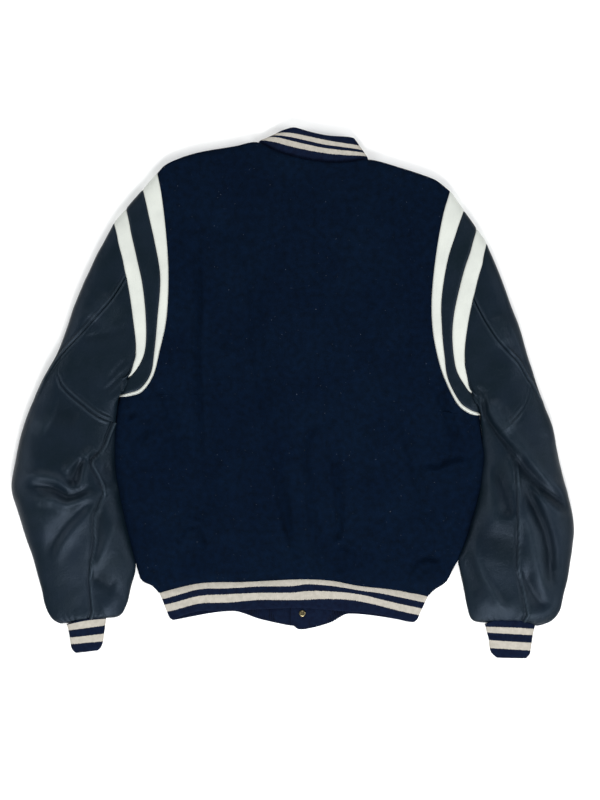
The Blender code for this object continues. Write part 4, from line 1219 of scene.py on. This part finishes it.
def welt(distance):
    """A topstitched seam in section: a ditch, then the turned edge held up in a ridge beside it."""
    return -0.5 * hump(distance, 1.4) + 1.7 * hump(distance, 1.5, 3.7) - 0.7 * hump(distance, 1.8, 7.2)


def lapped(off):
    """A lapped seam in section: the under piece drops away at the edge and the upper one stands up."""
    return -2.2 * hump(off, 2.2, -1.6) + 1.8 * hump(off, 2.0, 2.4)


def welt_marks(distance):
    """Marks of a topstitched seam, how much paler its ridge is and how much dirt its ditch holds, for the
    leather's UV map.
    """
    return Vector((0.5 * hump(distance, 1.3, 3.7), 0.15 * hump(distance, 1.0)))


def lap_marks(off):
    """Marks of the lapped under seam."""
    return Vector((0.8 * hump(off, 1.1, 2.2), 0.4 * hump(off, 1.8, -1.4)))


def fold_painted_light(side, point):
    """Painted shade in the troughs of the folds on top and a painted highlight on their ridges, for the
    leather's UV map.
    """
    height = crease_height(SLEEVE_FOLDS[side], point.x, point.y) * ease((point.z - 14) / 8)
    return Vector((min(max(height, 0.0) / 20, 0.3), min(max(-height, 0.0) / 12, 0.45)))


def hide_waves(point, seed):
    """Slow buckling and finer wrinkling of worn leather."""
    return cloth_waves(point, 42, 1.4, seed) + cloth_waves(point, 17, 0.3, seed + 3)


for side, way in (("left", -1), ("right", 1)):
    join = ELBOW_JOIN[side]
    join_place = read(HEAD_SEAM[side], join)
    head_end = HEAD_SEAM[side][-1][0]
    shown_from, shown_to, shown_by, tail_shown_by = SEAM_SHOWS[side]

    def head_place(u, v):
        """A point of the head, u running across the outer fold from seam to seam."""
        turn = 2 * u - 1
        section = v * head_end
        share = math.copysign(abs(turn) ** 1.3, turn)
        return sleeve_point(side, share * read(HEAD_SEAM[side], section), section)

    def seam_shows(q):
        """1 where the elbow's lower seam stands out, near 0 where the leather lies over it."""
        shows = ease((q - shown_from) / SEAM_FADE) * ease((shown_to + SEAM_FADE - q) / SEAM_FADE)
        return SEAM_LEAST + shown_by * shows

    def head_gap(v, point):
        """How far a point of the head is from its seam."""
        return min((point - head_place(0.0, v)).length, (point - head_place(1.0, v)).length)

    def head_relief(u, v, point):
        to_seam = head_gap(v, point)
        to_strip = (point - head_place(u, 0.0)).length
        inner = ease(min(to_seam, to_strip) / 12)
        return (welt(to_seam) * ease(v * 40) * ease((1 - v) * 8) + seam_dip(to_strip)
                + hide_waves(point, 20.0) * inner)

    def elbow_ring(u):
        """How far round from the head seam, over the inner fold and back: 0 to 1 to 0."""
        turn = 2 * u
        f = math.sin(math.pi / 2 * min(turn, 2 - turn))
        return f if turn <= 1 else -f

    def elbow_place(u, v):
        """A point of the elbow piece, u running over the inner fold from seam to seam."""
        f = elbow_ring(u)
        seam_place = read(HEAD_SEAM[side], join * v)
        section = v * read(ELBOW_SEAM[side], join_place + (1 - join_place) * abs(f))
        q = seam_place + (1 - seam_place) * abs(f)
        return sleeve_point(side, q if f >= 0 and u <= 0.5 else -q, section)

    def elbow_gaps(u, v, point):
        """How far a point is from its side and lower seams, and how much of the lower one shows."""
        to_head = min((point - elbow_place(0.0, v)).length, (point - elbow_place(1.0, v)).length)
        q = join_place + (1 - join_place) * abs(elbow_ring(u))
        return to_head, (point - elbow_place(u, 1.0)).length, seam_shows(q)

    def elbow_relief(u, v, point):
        to_head, to_lower, shows = elbow_gaps(u, v, point)
        to_strip = (point - elbow_place(u, 0.0)).length
        inner = ease(min(to_head, to_lower, to_strip) / 12)
        return (welt(to_head) + welt(to_lower) * shows + seam_dip(to_strip)
                + hide_waves(point, 40.0) * inner)

    def lower_turn(u):
        """Place round the lower sleeve, from the outer fold, and 1 on the upper half or -1 underneath."""
        q = ring_place(2 * u)
        return q, (1 if 2 * u <= 1 else -1)

    def lower_start(q):
        """The section where the lower sleeve starts at a place round it."""
        if q >= join_place:
            return read(ELBOW_SEAM[side], q)
        flipped = sorted((place, section) for section, place in HEAD_SEAM[side] if section >= join - 0.01)
        return read(flipped, max(q, flipped[0][0]))

    def lower_place(u, v):
        """A point of the lower sleeve, u running once round it."""
        q, half = lower_turn(u)
        start = lower_start(abs(q))
        point = sleeve_point(side, q, start + (len(SLEEVE[side]) - 1 - start) * v)
        if half > 0:
            point.y += CUFF_ARCH[side] * math.sin(math.pi * q) * v ** 12
        return point

    under_line = [tuple(sleeve_point(side, place, section)[:2]) for section, place in UNDER_SEAM[side]]

    def lower_gaps(u, point):
        """How far a point is from its upper and under seams, and how much of each shows."""
        q, half = lower_turn(u)
        off_under, place = off_line(under_line, point.x, point.y)
        lap = ease((place - UNDER_HIDDEN[side]) / SEAM_FADE) if half > 0 else 0.0
        shows = seam_shows(abs(q))
        if abs(q) <= join_place:
            shows = tail_shown_by * ease(abs(q) / join_place * 1.2)
        return (point - lower_place(u, 0.0)).length, off_under, lap, shows

    def lower_relief(u, v, point):
        to_top, off_under, lap, shows = lower_gaps(u, point)
        to_cuff = (point - lower_place(u, 1.0)).length
        gather = math.sin(u * 150 + 2 * math.sin(u * 37)) * 0.45 * (1 - ease(to_cuff / 22))
        return (welt(to_top) * shows + lapped(off_under) * lap + seam_dip(to_cuff) + gather
                + hide_waves(point, 60.0) * ease(min(to_top, to_cuff) / 12))

    # Each piece's marks add the folds' painted shade and painted highlights to its seams' own marks.
    def head_marks(u, v, point):
        return welt_marks(head_gap(v, point)) + fold_painted_light(side, point)

    def elbow_marks(u, v, point):
        to_head, to_lower, shows = elbow_gaps(u, v, point)
        return welt_marks(to_head) + welt_marks(to_lower) * shows + fold_painted_light(side, point)

    def lower_marks(u, v, point):
        to_top, off_under, lap, shows = lower_gaps(u, point)
        return welt_marks(to_top) * shows + lap_marks(off_under) * lap + fold_painted_light(side, point)

    pieces = [
        # name, across, down, place, relief, marks, ring, flat, area
        ("sleeve_head", shares(160, 2.4, growth=1.2), shares(300, 2.4),
         head_place, head_relief, head_marks, False, (0.19, 0.29), 0.0175),
        ("sleeve_elbow", shares(380, 2.8, growth=1.2), shares(200, 2.5, growth=1.2),
         elbow_place, elbow_relief, elbow_marks, False, (0.33, 0.2), {"left": 0.0295, "right": 0.0245}[side]),
        ("sleeve_lower", [k / 200 for k in range(201)], shares(330, 2.5, growth=1.2),
         lower_place, lower_relief, lower_marks, True, (0.36, 0.34), {"left": 0.106, "right": 0.094}[side]),
    ]
    for name, across, down, place, relief, marks, ring, flat, area in pieces:
        piece = lay_piece(f"{name}_hide_{side}", across, down, place, LEATHER, [hides["navy"]], relief, marks,
                          way, ring)
        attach(piece, "root")
        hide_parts(f"{name}_{side}")


# --- Cuffs --------------------------------------------------------------------------------------------
# Short tubes of the striped rib, doubled at the wrist end. The leather is gathered into their seam and
# arches a little over it.
CUFF = {
    "left": [
        # out_x, out_y, in_x, in_y, top, edge
        (-340, -344, -280.5, -334.5, 14.0, 7.0),
        (-337.5, -353.5, -282, -346, 13.4, 6.8),
        (-335.5, -364, -283.7, -358, 13.0, 6.5),
        (-334.3, -374, -285, -369.5, 12.5, 6.3),
        (-332, -382, -288, -378, 11.8, 6.0),
        (-326.5, -387.5, -293.5, -383.5, 11.0, 5.6),
    ],
    "right": [
        (288, -343.5, 363.5, -346, 14.0, 7.0),
        (290.8, -355, 360.5, -359, 13.4, 6.8),
        (294, -367, 358.8, -371, 13.0, 6.5),
        (295.3, -379, 357.2, -383, 12.5, 6.3),
        (298, -387, 356, -389.5, 11.8, 6.0),
        (306, -394.5, 350, -395.5, 11.0, 5.6),
    ],
}
CUFF_WALL = 2.4
CUFF_ROUND = 16.0
CUFF_UNDER_ROUND = 12.0
CUFF_WALES = 54
CUFF_LENGTH = 46.0
CUFF_STRIPES = {"left": (0.03, 0.195, 0.405, 0.595), "right": (0.085, 0.22, 0.415, 0.605)}
for side in ("left", "right"):

    def cuff_place(u, v):
        """A point of the cuff, u running once round it and v from its seam to the wrist."""
        turn = 2 * u
        q = turn if turn <= 1 else 2 - turn
        out_x, out_y, in_x, in_y, top, edge = spline(CUFF[side], v * (len(CUFF[side]) - 1))
        across = math.hypot(in_x - out_x, in_y - out_y)
        inset = min(q, 1 - q) * across
        z = edge * (1 - roll(inset, CUFF_UNDER_ROUND))
        y = out_y + (in_y - out_y) * q
        if turn <= 1:
            z = edge + (top - edge) * roll(inset, CUFF_ROUND)
            y += (CUFF_ARCH[side] + 1.5) * math.sin(math.pi * q) * max(1 - v / 0.08, 0.0)
        return Vector((out_x + (in_x - out_x) * q, y, z))

    def cuff_relief(u, v, point):
        above = 1.0 if u <= 0.5 else 0.3
        return (wale_height(u * CUFF_WALES) + cloth_waves(point, 18, 0.4, 12.0)) * above

    def cuff_stripes(u, v, point):
        return u * CUFF_WALES, stripe_place(v, CUFF_STRIPES[side])

    across = [k / (CUFF_WALES * 4) for k in range(CUFF_WALES * 4 + 1)]
    cuff = lay_piece(f"rib_cuff_{side}", across, shares(CUFF_LENGTH, 2.6), cuff_place, CUFF_WALL,
                     [striped_rib, plain_rib], cuff_relief, cuff_stripes, way=-1, ring=True)
    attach(cuff, "root")
    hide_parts(f"cuff_rib_{side}")


# --- Snaps --------------------------------------------------------------------------------------------
# Stamped brass snaps, antiqued and lacquered: caps on the floor side of the left front and posts
# through the right one.
brass, shader = new_finish("antiqued_brass")
shader.inputs["Metallic"].default_value = 1.0
place_on = add(brass, "ShaderNodeTexCoord").outputs["Object"]
tarnish = add(brass, "ShaderNodeTexNoise", {"Vector": place_on, "Scale": 1 / (3 * MM), "Detail": 3.0})
metal = add(brass, "ShaderNodeMix", {"Factor": tarnish.outputs["Fac"], 6: linear("#625A42"),
                                     7: linear("#857C60")}, data_type="RGBA")
wear = add(brass, "ShaderNodeMapRange", {"Value": tarnish.outputs["Fac"], "To Min": 0.2, "To Max": 0.45})
brass.node_tree.links.new(metal.outputs[2], shader.inputs["Base Color"])
brass.node_tree.links.new(wear.outputs[0], shader.inputs["Roughness"])
for node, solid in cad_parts.items():
    if node.startswith("snap_"):
        for place in solid.material_slots:
            place.link = "OBJECT"
            place.material = brass
